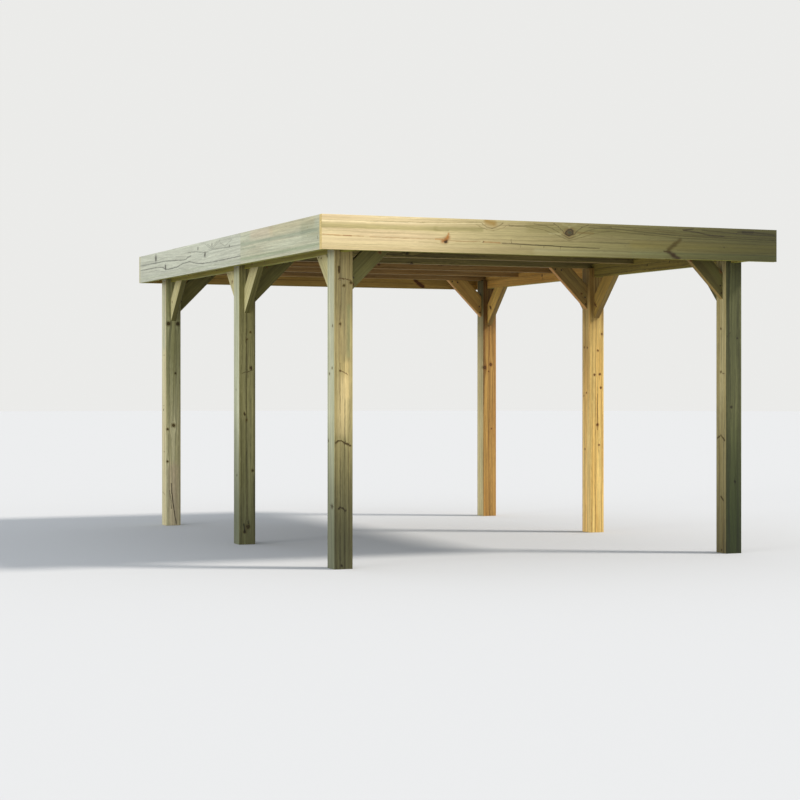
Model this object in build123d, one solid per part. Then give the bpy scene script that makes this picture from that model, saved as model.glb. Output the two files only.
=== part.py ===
from build123d import *
import math
import os

# An open flat-roofed timber carport: six square posts with forked tops, two
# lines of header boards, cross rafters notched over them, corner braces, a
# deep fascia all round and ribbed roof sheets laid inside the fascia.
# X runs across the front, Y runs from front to back, Z is up. The origin is
# on the ground, at the middle of the roof's outline.

# Posts
post_width = 140.0
post_pitch = 3230.0          # centre to centre across the front
bay_length = 2215.0          # centre to centre along a side
bay_count = 2
post_arris = 3.0             # eased long edges

# Headers, standing in the slots of the post tops
header_thickness = 47.0
header_depth = 125.0
header_underside = 2250.0    # above the ground, level with the fascia's lower edge
slot_depth = 80.0            # how far a header sits down between the two cheeks
slot_clearance = 0.3         # each side of a header in its slot

# Rafters, notched over the headers
rafter_thickness = 47.0
rafter_depth = 125.0
rafters_per_bay = 3          # spacings between one post line and the next
notch_clearance = 0.3        # each side of a header in a rafter's notch

# Braces, cut at both ends to stand at 45 degrees
brace_thickness = 47.0
brace_depth = 145.0
brace_reach = 360.0          # from the post's face to the lower edge's upper end

# Fascia
fascia_thickness = 47.0
fascia_depth = 245.0
side_overhang = 175.0        # post's outer face to the fascia's outer face
front_overhang = 220.0
back_overhang = 160.0
front_board_length = 1800.0  # the shorter of the two boards on each side
splice_thickness = 25.0
splice_drop = 5.0            # its upper edge lies this far below the roof sheets
plank_arris = 2.0            # eased long edges of every board

# Roof sheets
sheet_count = 4
ribs_per_sheet = 4           # spacings, so a sheet has one rib more
sheet_thickness = 0.7
rib_height = 33.0
crest_width = 30.0
web_run = 18.0               # sideways run of a rib's sloping side
bend_radius = 3.0            # inside of each bend
sheet_side_gap = 6.0
sheet_end_gap = 15.0
lap_gap = 0.3                # between two sheets where one laps over the other
lap_lift = 4.0               # the lapping edge stops this far above the valley
underlap_drop = 22.0         # how far down the covered edge runs inside the rib

# Places worked out from the sizes above
post_x = post_pitch / 2
frame_length = bay_length * bay_count
roof_half_length = (front_overhang + post_width + frame_length + back_overhang) / 2
first_post_y = -roof_half_length + front_overhang + post_width / 2
post_lines = [first_post_y + bay_length * n for n in range(bay_count + 1)]
rafter_underside = header_underside + slot_depth
rafter_top = rafter_underside + rafter_depth
header_top = header_underside + header_depth
roof_half_width = post_x + post_width / 2 + side_overhang
inner_half_width = roof_half_width - fascia_thickness
inner_half_length = roof_half_length - fascia_thickness
fascia_middle_z = header_underside + fascia_depth / 2
rafter_count = rafters_per_bay * bay_count + 1
rafter_spacing = bay_length / rafters_per_bay
rafter_lines = [first_post_y + rafter_spacing * n for n in range(rafter_count)]

sides = {"left": -1, "right": 1}
line_names = ["front", "middle", "back"] if bay_count == 2 else [f"row_{n + 1}" for n in range(bay_count + 1)]


def plank(length, thickness, depth, along):
    """A board lying along X or Y, its four long edges eased, centred on the origin."""
    size = (length, thickness, depth) if along == Axis.X else (thickness, length, depth)
    board = Box(*size)
    return fillet(board.edges().filter_by(along), plank_arris)


def make_post(side, y):
    """A square post with a slot down its top for the header."""
    post = Box(post_width, post_width, rafter_underside, align=(Align.CENTER, Align.CENTER, Align.MIN))
    post = fillet(post.edges().filter_by(Axis.Z), post_arris)
    slot_width = header_thickness + 2 * slot_clearance
    slot = Box(slot_width, post_width, slot_depth, align=(Align.CENTER, Align.CENTER, Align.MIN))
    return Pos(side * post_x, y, 0) * (post - Pos(0, 0, header_underside) * slot)


def make_header(side, y_start, y_end):
    """One length of header, from a fascia to the joint over the middle post."""
    board = plank(y_end - y_start, header_thickness, header_depth, Axis.Y)
    return Pos(side * post_x, (y_start + y_end) / 2, header_underside + header_depth / 2) * board


def make_rafter(y):
    """A rafter from fascia to fascia, with a notch for each header."""
    rafter = plank(2 * inner_half_width, rafter_thickness, rafter_depth, Axis.X)
    rafter = Pos(0, y, rafter_underside + rafter_depth / 2) * rafter
    notch_width = header_thickness + 2 * notch_clearance
    notch = Box(notch_width, rafter_thickness, header_depth, align=(Align.CENTER, Align.CENTER, Align.MAX))
    for side in sides.values():
        rafter -= Pos(side * post_x, y, header_top) * notch
    return rafter


def brace_outline():
    """The side view of a brace: its foot on the line x = 0, its head on the line y = 0."""
    inner_reach = brace_reach - brace_depth * math.sqrt(2)
    return Polygon(
        (0, -brace_reach), (0, -inner_reach), (inner_reach, 0), (brace_reach, 0), align=None
    )


def ease_slopes(brace):
    """Ease the two lower and two upper long edges, which slope at 45 degrees."""
    slopes = [edge for edge in brace.edges() if 0.1 < abs((edge % 0.5).Z) < 0.9]
    return fillet(slopes, plank_arris)


def make_cross_brace(side, y):
    """A brace across the carport, from a post's inner face up to its rafter."""
    plane = Plane(origin=(side * (post_x - post_width / 2), y, rafter_underside), x_dir=(-side, 0, 0),
                  z_dir=(0, side, 0))
    return ease_slopes(extrude(plane * brace_outline(), brace_thickness / 2, both=True))


def make_side_brace(side, y, way):
    """A brace along a side, from a post's front or back face up to the header."""
    plane = Plane(origin=(side * post_x, y + way * post_width / 2, header_underside), x_dir=(0, way, 0),
                  z_dir=(way, 0, 0))
    return ease_slopes(extrude(plane * brace_outline(), brace_thickness / 2, both=True))


def make_end_fascia(way):
    """The front or back board, which laps over the ends of the side boards."""
    board = plank(2 * roof_half_width, fascia_thickness, fascia_depth, Axis.X)
    return Pos(0, way * (roof_half_length - fascia_thickness / 2), fascia_middle_z) * board


def make_side_fascia(side, y_start, y_end):
    """One board of a side, between an end board and the butt joint."""
    board = plank(y_end - y_start, fascia_thickness, fascia_depth, Axis.Y)
    return Pos(side * (roof_half_width - fascia_thickness / 2), (y_start + y_end) / 2, fascia_middle_z) * board


def make_splice(side, joint_y):
    """The backing board behind a butt joint, between the two rafters beside it."""
    spacings_before = math.floor((joint_y - first_post_y) / rafter_spacing)
    middle_y = first_post_y + (spacings_before + 0.5) * rafter_spacing
    depth = rafter_depth - splice_drop
    board = plank(rafter_spacing - rafter_thickness, splice_thickness, depth, Axis.Y)
    return Pos(side * (inner_half_width - splice_thickness / 2), middle_y, rafter_underside + depth / 2) * board


def offset_path(points, distance):
    """Move an open path sideways, to the left of its direction, with mitred corners."""
    moved = []
    for n, point in enumerate(points):
        before = (Vector(*point) - Vector(*points[max(n - 1, 0)]))
        after = (Vector(*points[min(n + 1, len(points) - 1)]) - Vector(*point))
        before = (before if n > 0 else after).normalized()
        after = (after if n < len(points) - 1 else before).normalized()
        left_before = Vector(-before.Y, before.X)
        left_after = Vector(-after.Y, after.X)
        mitre = (left_before + left_after) * (distance / (1 + left_before.dot(left_after)))
        moved.append((point[0] + mitre.X, point[1] + mitre.Y))
    return moved


def rib_path(x):
    """The middle line of one whole rib, centred on x."""
    foot = crest_width / 2 + web_run
    crest = crest_width / 2
    return [(x - foot, 0), (x - crest, rib_height), (x + crest, rib_height), (x + foot, 0)]


def cut_leg(foot, crest, height):
    """The point on a rib's sloping side at a height above its foot."""
    share = (height - foot[1]) / (crest[1] - foot[1])
    return (foot[0] + (crest[0] - foot[0]) * share, height)


def sheet_path(first_rib_x, spacing, laps_over, is_lapped):
    """The middle line of one roof sheet, from its first rib to its last."""
    points = []
    for n in range(ribs_per_sheet + 1):
        rib = rib_path(first_rib_x + n * spacing)
        if n == 0 and laps_over:
            rib[0] = cut_leg(rib[0], rib[1], lap_lift)
        if n == ribs_per_sheet and is_lapped:
            inside = offset_path(rib, -(sheet_thickness + lap_gap))
            start = cut_leg(inside[0], inside[1], 0)
            end = cut_leg(inside[3], inside[2], rib_height - underlap_drop)
            rib = [start, inside[1], inside[2], end]
        points += rib
    return points


def skin_line(path, side):
    """One surface of a sheet: side is 1 for the upper skin, -1 for the lower one."""
    radii = []
    for before, corner, after in zip(path, path[1:], path[2:]):
        turn = (Vector(*corner) - Vector(*before)).cross(Vector(*after) - Vector(*corner)).Z
        radii.append(bend_radius + (sheet_thickness if turn * side < 0 else 0))
    return FilletPolyline(*offset_path(path, side * sheet_thickness / 2), radius=radii)


def sheet_outline(path):
    """The cross section of a sheet, bent along a path."""
    upper = skin_line(path, 1)
    lower = skin_line(path, -1)
    left_edge = Line(upper @ 0, lower @ 0)
    right_edge = Line(upper @ 1, lower @ 1)
    return make_face([upper, right_edge, lower, left_edge])


def make_sheet(n):
    """One ribbed steel sheet, running from front to back over the rafters."""
    foot = crest_width / 2 + web_run
    first = -inner_half_width + sheet_side_gap + foot
    spacing = -2 * first / (sheet_count * ribs_per_sheet)
    path = sheet_path(first + n * ribs_per_sheet * spacing, spacing, n > 0, n < sheet_count - 1)
    outline = sheet_outline(path)
    half_length = inner_half_length - sheet_end_gap
    plane = Plane(origin=(0, 0, rafter_top + sheet_thickness / 2), x_dir=(1, 0, 0), z_dir=(0, -1, 0))
    return extrude(plane * outline, half_length, both=True)


def write(name, piece):
    """Write one piece to its own file."""
    piece.label = name
    export_step(piece, f"parts/{name}.step")


def write_posts_and_braces():
    """The posts and the braces that stand on them."""
    for side_name, side in sides.items():
        for n, y in enumerate(post_lines):
            place = f"{line_names[n]}_{side_name}"
            write(f"post_{place}", make_post(side, y))
            write(f"cross_brace_{place}", make_cross_brace(side, y))
            if n > 0:
                write(f"side_brace_{place}_forward", make_side_brace(side, y, -1))
            if n < bay_count:
                write(f"side_brace_{place}_rearward", make_side_brace(side, y, 1))


def write_headers_and_rafters():
    """Two header lines, each joined over the middle posts, and the rafters."""
    joints = [-inner_half_length] + post_lines[1:-1] + [inner_half_length]
    for side_name, side in sides.items():
        for n in range(len(joints) - 1):
            write(f"header_{side_name}_{n + 1}", make_header(side, joints[n], joints[n + 1]))
    for n, y in enumerate(rafter_lines):
        write(f"rafter_{n + 1}", make_rafter(y))


def write_roof_edge():
    """The fascia boards and the splices behind their joints."""
    write("fascia_front", make_end_fascia(-1))
    write("fascia_back", make_end_fascia(1))
    joint_y = -inner_half_length + front_board_length
    for side_name, side in sides.items():
        write(f"fascia_{side_name}_front", make_side_fascia(side, -inner_half_length, joint_y))
        write(f"fascia_{side_name}_back", make_side_fascia(side, joint_y, inner_half_length))
        write(f"splice_{side_name}", make_splice(side, joint_y))


os.makedirs("parts", exist_ok=True)
write_posts_and_braces()
write_headers_and_rafters()
write_roof_edge()
for sheet_number in range(sheet_count):
    write(f"roof_sheet_{sheet_number + 1}", make_sheet(sheet_number))
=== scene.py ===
import logging
import math
import random
from dataclasses import dataclass, field
from enum import Enum
from typing import Any, Iterator, Mapping, Sequence

import bmesh
import bpy
from mathutils import Matrix, Vector


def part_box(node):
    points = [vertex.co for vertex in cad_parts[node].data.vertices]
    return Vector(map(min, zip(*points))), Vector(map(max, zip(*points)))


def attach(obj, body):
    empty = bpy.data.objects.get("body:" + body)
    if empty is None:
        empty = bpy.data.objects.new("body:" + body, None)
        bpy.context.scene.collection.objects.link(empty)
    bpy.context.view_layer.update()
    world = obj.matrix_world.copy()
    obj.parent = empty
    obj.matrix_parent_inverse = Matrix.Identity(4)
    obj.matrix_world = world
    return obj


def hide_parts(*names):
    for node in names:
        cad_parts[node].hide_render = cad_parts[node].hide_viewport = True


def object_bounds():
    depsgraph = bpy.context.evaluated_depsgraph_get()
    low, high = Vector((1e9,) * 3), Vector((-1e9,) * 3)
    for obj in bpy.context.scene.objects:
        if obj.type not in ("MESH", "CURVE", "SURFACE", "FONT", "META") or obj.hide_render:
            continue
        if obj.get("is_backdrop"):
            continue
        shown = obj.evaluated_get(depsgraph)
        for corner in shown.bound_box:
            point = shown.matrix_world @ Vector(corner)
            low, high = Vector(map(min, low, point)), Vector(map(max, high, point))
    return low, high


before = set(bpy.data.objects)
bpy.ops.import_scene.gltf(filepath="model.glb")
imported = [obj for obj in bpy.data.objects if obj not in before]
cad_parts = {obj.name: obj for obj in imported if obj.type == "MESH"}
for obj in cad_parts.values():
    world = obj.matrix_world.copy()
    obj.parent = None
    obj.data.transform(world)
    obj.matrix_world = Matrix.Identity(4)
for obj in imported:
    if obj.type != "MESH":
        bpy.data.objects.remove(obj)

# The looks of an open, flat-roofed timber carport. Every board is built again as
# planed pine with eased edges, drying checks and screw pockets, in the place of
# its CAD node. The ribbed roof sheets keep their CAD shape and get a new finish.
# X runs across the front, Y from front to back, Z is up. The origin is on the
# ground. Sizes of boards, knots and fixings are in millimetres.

LOG = logging.getLogger("carport")
CAD_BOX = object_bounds()
MM = 0.001
UP = Vector((0.0, 0.0, 1.0))
SIDE_SIGNS = {"left": -1, "right": 1}
POST_LINES = ("front", "middle", "back")

Spot = tuple[float, float]
Point = tuple[float, float, float]
Outline = Sequence[Spot]
Colour = tuple[float, float, float, float]
Socket = bpy.types.NodeSocket
Tree = bpy.types.NodeTree


def linear(code: str) -> Colour:
    """Turn an sRGB hex colour into the linear colour that a shader takes.

    Args:
        code: the colour, such as "#D9C796".

    Returns:
        Linear red, green, blue and an alpha of 1.
    """
    channels = [int(code[start:start + 2], 16) / 255 for start in (1, 3, 5)]
    lit = [c / 12.92 if c <= 0.04045 else ((c + 0.055) / 1.055) ** 2.4 for c in channels]
    return (lit[0], lit[1], lit[2], 1.0)


def add(tree: Tree, kind: str, inputs: Sequence[Any] | Mapping[Any, Any], out: int = 0,
        **settings: Any) -> Socket:
    """Add one node with its settings and links.

    Args:
        tree: the node tree that it goes into.
        kind: the node's type, such as "Math".
        inputs: a value, a hex colour or another node's output for each input, in their order or by
            name. Those of a MapRange are its value, from low, from high, to low and to high.
        out: which of its outputs is wanted.
        **settings: the node's own properties.

    Returns:
        The wanted output, or None for a node that has none.
    """
    made = tree.nodes.new("ShaderNode" + kind)
    for name, value in settings.items():
        setattr(made, name, value)
    for name, value in inputs.items() if isinstance(inputs, Mapping) else enumerate(inputs):
        if isinstance(value, Socket):
            tree.links.new(value, made.inputs[name])
        else:
            made.inputs[name].default_value = linear(value) if isinstance(value, str) else value
    return made.outputs[out] if made.outputs else None


def new_material(name: str) -> tuple[bpy.types.Material, Tree]:
    """Make an empty node material.

    Args:
        name: its name.

    Returns:
        The material and its node tree.
    """
    material = bpy.data.materials.new(name)
    material.use_nodes = True
    material.node_tree.nodes.clear()
    return material, material.node_tree


def nodes(start: str) -> list[str]:
    """The names of the CAD nodes with this start, sorted."""
    return sorted(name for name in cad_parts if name.startswith(start))


def new_object(name: str, mesh: bpy.types.Mesh) -> bpy.types.Object:
    """Put a mesh into the scene as a new object of the same name."""
    made = bpy.data.objects.new(name, mesh)
    bpy.context.scene.collection.objects.link(made)
    return made


class Side(Enum):
    """A long face of a board, with its outward normal in (across, through)."""

    OUTER = (0, 1)
    LOWER = (-1, 0)
    INNER = (0, -1)
    UPPER = (1, 0)

    def out(self, place: Sequence[float]) -> float:
        """How far a place in the board lies towards this face, from the board's middle, in mm."""
        return self.value[0] * place[1] + self.value[1] * place[2]


@dataclass(frozen=True)
class Knot:
    """An overgrown branch: a tapering rod inside the board, in mm from the board's middle."""

    start: Point
    end: Point
    radius: float
    end_radius: float


@dataclass(frozen=True)
class Stain:
    """A soft-edged streak of another colour, which runs between two points of the board."""

    start: Point
    end: Point
    radius: float
    colour: str
    strength: float


@dataclass(frozen=True)
class Check:
    """A drying check: a crack that opens and closes along the grain.

    start and end are (along, sideways) on the named face, in mm from its middle. The
    crack sways by up to sway and steps from side to side by up to jog. It tapers
    towards its ends by the power taper, and is closed where it is less than shut of
    its full width.
    """

    face: Side
    start: Spot
    end: Spot
    width: float = 2.2
    depth: float = 12.0
    sway: float = 1.5
    sway_angle: float = 17.0
    jog: float = 1.2
    taper: float = 0.7
    shut: float = 0.02

    def slot(self, along: float, wobble: random.Random) -> Point:
        """Work out the check's share of one outline of its board.

        Args:
            along: the outline's place along the board.
            wobble: gives the crack its small steps from side to side.

        Returns:
            The check's place across its face, its width and its depth there.
        """
        share = (along - self.start[0]) / (self.end[0] - self.start[0])
        share = min(1.0, max(0.0, share))
        place = self.start[1] + (self.end[1] - self.start[1]) * share
        place += wobble.uniform(-self.jog, self.jog) + self.sway * math.sin(share * self.sway_angle)
        opened = math.sin(math.pi * share) ** self.taper
        if opened < self.shut:
            return place, 0.0, 0.0
        return place, self.width * opened * wobble.uniform(0.75, 1.0), self.depth * opened


@dataclass(frozen=True)
class Log:
    """How a board was cut from its log: where the pith runs, and the knots that it met."""

    pith: Spot
    knots: tuple[Knot, ...] = ()
    stains: tuple[Stain, ...] = ()
    checks: tuple[Check, ...] = ()


@dataclass(frozen=True)
class Notch:
    """A box cut out of a board, in the board's own frame."""

    middle: Point
    size: Point

    def add_to(self, cutter: bmesh.types.BMesh) -> None:
        """Add the box to the mesh that cuts."""
        place = Matrix.Translation(self.middle) @ Matrix.Diagonal((*self.size, 1.0))
        bmesh.ops.create_cube(cutter, size=1.0, matrix=place)


@dataclass(frozen=True)
class Face:
    """One long face of a board, where marks are set out as (along, sideways), in mm from its middle."""

    side: Side
    depth: float
    thickness: float

    @property
    def out(self) -> float:
        """How far the face lies from the board's middle."""
        return (self.depth if self.side.value[0] else self.thickness) / 2

    def point(self, along: float, sideways: float, sunk: float = 0.0) -> Point:
        """Find a place on the face or under it.

        Args:
            along: how far it lies along the board.
            sideways: how far it lies across the face.
            sunk: how deep it lies under the face.

        Returns:
            The place in the board, as (along, across, through).
        """
        across, through = self.side.value
        out = self.out - sunk
        return (along, across * out, sideways) if across else (along, sideways, through * out)

    def knots(self, *rows: tuple[float, float, float]) -> tuple[Knot, ...]:
        """Make knots that come straight out of the face, as branches do that were cut across.

        Args:
            *rows: each knot's place and its radius at the face.

        Returns:
            The knots, which start 30 mm deep.
        """
        return tuple(Knot(self.point(x, y, 30.0), self.point(x, y, -5.0), radius * 0.7, radius)
                     for x, y, radius in rows)

    def spikes(self, *rows: tuple[Spot, Spot, float]) -> tuple[Knot, ...]:
        """Make knots that lie just under the face, as branches do that were cut lengthwise.

        Args:
            *rows: where each knot leaves the pith, where it ends and its radius there.

        Returns:
            The knots.
        """
        return tuple(Knot(self.point(*start, 1.0), self.point(*end, 1.0), radius * 0.6, radius)
                     for start, end, radius in rows)

    def trails(self, *rows: tuple[Any, ...]) -> tuple[Stain, ...]:
        """Lay lines of stains through places on the face.

        Args:
            *rows: how wide each line's soft edge reaches, its colour, how much it covers and its places.

        Returns:
            One stain from each place to the next.
        """
        return tuple(Stain(self.point(*first), self.point(*last), radius, colour, strength)
                     for radius, colour, strength, *places in rows for first, last in zip(places, places[1:]))

    def check(self, start: Spot, end: Spot, width: float = 2.2, depth: float = 12.0) -> Check:
        """Open a drying check in the face."""
        return Check(self.side, start, end, width, depth)


@dataclass(frozen=True)
class Pocket:
    """A round screw pocket in one of a board's long faces."""

    face: Face
    place: Spot
    radius: float = 8.0
    depth: float = 5.0
    sides: int = 20

    @property
    def mouth(self) -> Vector:
        """The middle of its mouth, in the board's frame."""
        return Vector(self.face.point(*self.place))

    @property
    def outward(self) -> Vector:
        """The direction out of the face, in the board's frame."""
        return Vector((0, *self.face.side.value))

    def add_to(self, cutter: bmesh.types.BMesh) -> None:
        """Add the pocket's round plug to the mesh that cuts."""
        place = Matrix.Translation(self.mouth) @ self.outward.to_track_quat("Z", "Y").to_matrix().to_4x4()
        bmesh.ops.create_cone(cutter, cap_ends=True, segments=self.sides, radius1=self.radius,
                              radius2=self.radius, depth=2 * self.depth, matrix=place)


@dataclass
class Board:
    """One planed board with eased edges, built in its own frame and then set in its place.

    along, across and through are the board's own directions in the row frame, and
    length, depth and thickness are its sizes along them in mm. A slant moves an end
    face along the board by that share of the distance across it. Outlines stand no
    closer than least_gap and points of one outline no closer than fold. A face whose
    normal has more than end_normal along the board is an end face, and edges over
    sharp_angle degrees are shaded sharp.
    """

    node: str
    length: float
    depth: float
    thickness: float
    middle: Vector
    along: Vector
    across: Vector
    log: Log
    arris: float = 2.0
    slants: Spot = (0.0, 0.0)
    notches: Sequence[Notch] = ()
    pockets: Sequence[Pocket] = ()
    end_ease: float = 0.8
    arc_steps: int = 4
    station_gap: float = 120.0
    check_step: float = 28.0
    least_gap: float = 1.0
    fold: float = 1e-4
    bend_along: float = 9.5
    bend_across: float = 3.4
    zone_margin: float = 30.0
    end_normal: float = 0.6
    sharp_angle: float = 28.0
    zones: int = 1

    @property
    def through(self) -> Vector:
        """The direction of the board's thickness."""
        return self.along.cross(self.across)

    def half(self, side: Side) -> float:
        """How far a long face lies from the board's middle, in mm."""
        return Face(side, self.depth, self.thickness).out

    def zone(self, along: float) -> int:
        """Which of the board's equal zones along its length a place lies in."""
        return min(self.zones - 1, max(0, int((along / self.length + 0.5) * self.zones)))

    def reach(self, mark: Knot | Stain, bend: float) -> float:
        """How far a mark shows from its axis: a knot, which bends the grain, so many times its radius."""
        return bend * max(mark.radius, mark.end_radius) if isinstance(mark, Knot) else mark.radius

    def near_zone(self, zone: int, mark: Knot | Stain) -> bool:
        """Tell whether a knot or stain can show in a zone.

        Args:
            zone: the zone's number.
            mark: the knot or stain.

        Returns:
            True when its reach along the board comes within one outline of the zone.
        """
        margin = self.reach(mark, self.bend_along) + self.station_gap + self.zone_margin
        low, high = (self.length * ((zone + step) / self.zones - 0.5) for step in (0, 1))
        ends = mark.start[0], mark.end[0]
        return min(ends) - margin < high and max(ends) + margin > low

    def near_face(self, face: Side, mark: Knot | Stain) -> bool:
        """Tell whether a knot or stain comes near enough to a long face to show on it.

        Args:
            face: the face.
            mark: the knot or stain.

        Returns:
            True when its reach comes through the face.
        """
        nearest = max(face.out(mark.start), face.out(mark.end))
        return self.half(face) - nearest < self.reach(mark, self.bend_across)

    def frame(self) -> Matrix:
        """The board's own frame, in mm, as a matrix to the row frame in metres."""
        turn = Matrix((self.along, self.across, self.through)).transposed().to_4x4()
        return Matrix.Translation(self.middle) @ turn @ Matrix.Scale(MM, 4)

    def stations(self) -> list[Spot]:
        """Choose where the board's outline is drawn.

        Returns:
            For each outline its place along the board, and how far it is drawn in.
        """
        half = self.length / 2
        steps = max(2, round(self.length / self.station_gap))
        even = self.length - 2 * self.end_ease
        places = {-half + self.end_ease + even * n / steps for n in range(steps + 1)}
        for check in self.log.checks:
            first, last = check.start[0], check.end[0]
            count = max(4, round((last - first) / self.check_step))
            places |= {first + (last - first) * n / count for n in range(count + 1)}
        inner = sorted(p for p in places if abs(p) <= half - self.end_ease)
        kept = [inner[0]]
        for place in inner[1:-1]:
            if min(place - kept[-1], inner[-1] - place) > self.least_gap:
                kept.append(place)
        kept.append(inner[-1])
        return [(-half, self.end_ease), *[(place, 0.0) for place in kept], (half, self.end_ease)]

    def outline(self, along: float, inset: float, wobble: random.Random) -> list[Spot]:
        """Draw the board's outline at one place along it.

        Args:
            along: the place.
            inset: how far the outline is drawn in, for an eased end.
            wobble: gives each check its small steps.

        Returns:
            The outline's points as (across, through), a closed check's three points being one and the same.
        """
        points: list[Spot] = []
        for side in Side:
            normal = side.value
            tangent = (-normal[1], normal[0])
            reach = (self.depth if normal[1] else self.thickness) / 2 - inset
            out = self.half(side) - inset
            centre = [n * (out - self.arris) - t * (reach - self.arris) for n, t in zip(normal, tangent)]
            for step in range(self.arc_steps + 1):
                angle = math.pi / 2 * step / self.arc_steps
                points.append(tuple(c + self.arris * (n * math.sin(angle) - t * math.cos(angle))
                                    for c, n, t in zip(centre, normal, tangent)))
            way = sum(tangent)
            checks = [check for check in self.log.checks if check.face is side]
            for check in sorted(checks, key=lambda c: way * c.start[1]):
                place, width, depth = check.slot(along, wobble)
                for shift, sunk in ((-width / 2, 0.0), (0.0, depth), (width / 2, 0.0)):
                    points.append(tuple(n * (out - sunk) + t * (way * place + shift)
                                        for n, t in zip(normal, tangent)))
        return points

    def swept_mesh(self) -> bpy.types.Mesh:
        """Sweep the outline along the board.

        Returns:
            A closed mesh in the board's own frame, in mm.
        """
        wobble = random.Random(self.node)
        points: list[Point] = []
        rings: list[list[int]] = []
        for along, inset in self.stations():
            share = along / self.length + 0.5
            slant = self.slants[0] + (self.slants[1] - self.slants[0]) * share
            ring: list[int] = []
            last: Spot | None = None
            for across, through in self.outline(along, inset, wobble):
                if last is None or math.dist((across, through), last) > self.fold:
                    points.append((along + slant * across, across, through))
                    last = (across, through)
                ring.append(len(points) - 1)
            rings.append(ring)
        faces = [tuple(dict.fromkeys(reversed(rings[0]))), tuple(dict.fromkeys(rings[-1]))]
        for before, after in zip(rings, rings[1:]):
            for n in range(len(before)):
                following = (n + 1) % len(before)
                corners = (before[n], before[following], after[following], after[n])
                face = tuple(dict.fromkeys(corners))
                if len(face) > 2:
                    faces.append(face)
        mesh = bpy.data.meshes.new(self.node)
        mesh.from_pydata(points, [], faces)
        return mesh

    def cut(self, mesh: bpy.types.Mesh) -> bpy.types.Mesh:
        """Cut the notches and screw pockets.

        Args:
            mesh: the swept board.

        Returns:
            The board with its cuts.
        """
        if not self.notches and not self.pockets:
            return mesh
        cutter = bmesh.new()
        for notch in self.notches:
            notch.add_to(cutter)
        for pocket in self.pockets:
            pocket.add_to(cutter)
        cutter_mesh = bpy.data.meshes.new("cutter")
        cutter.to_mesh(cutter_mesh)
        cutter.free()
        tool = new_object("cutter", cutter_mesh)
        blank = new_object("blank", mesh)
        knife = blank.modifiers.new("knife", "BOOLEAN")
        knife.operation = "DIFFERENCE"
        knife.solver = "EXACT"
        knife.object = tool
        result = bpy.data.meshes.new_from_object(blank.evaluated_get(bpy.context.evaluated_depsgraph_get()))
        for spent in (blank, tool):
            bpy.data.objects.remove(spent)
        return result

    def build(self) -> bpy.types.Object:
        """Build the board, write the place of each point in it, and set it in the carport.

        Returns:
            The board's object, which rides on the frame and stands for its CAD node.
        """
        mesh = self.cut(self.swept_mesh())
        sides = list(Side)
        for polygon in mesh.polygons:
            nearest = min(sides, key=lambda face: self.half(face) - face.out(polygon.center))
            if abs(polygon.normal.x) > self.end_normal:
                nearest = Side.OUTER
            polygon.material_index = sides.index(nearest) + len(sides) * self.zone(polygon.center.x)
        grain = mesh.attributes.new("grain", "FLOAT_VECTOR", "POINT")
        grain.data.foreach_set("vector", [c for vertex in mesh.vertices for c in vertex.co])
        mesh.transform(self.frame())
        mesh.polygons.foreach_set("use_smooth", [True] * len(mesh.polygons))
        mesh.set_sharp_from_angle(angle=math.radians(self.sharp_angle))
        mesh.update()
        made = new_object(self.node + "_board", mesh)
        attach(made, "root")
        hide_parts(self.node)
        return made


@dataclass(frozen=True)
class PaintedShadeFade:
    """How the wood darkens along a board, from one place to another, by the same share each mm.

    Along the front board's right part and at the tops of the posts it is painted shade; towards
    the posts' feet it makes the wood darker towards the bottom. late_depth, where it is given, is
    how strongly the late wood shows at the end.
    """

    start: float
    end: float
    tone: str
    late_depth: float | None = None


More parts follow.
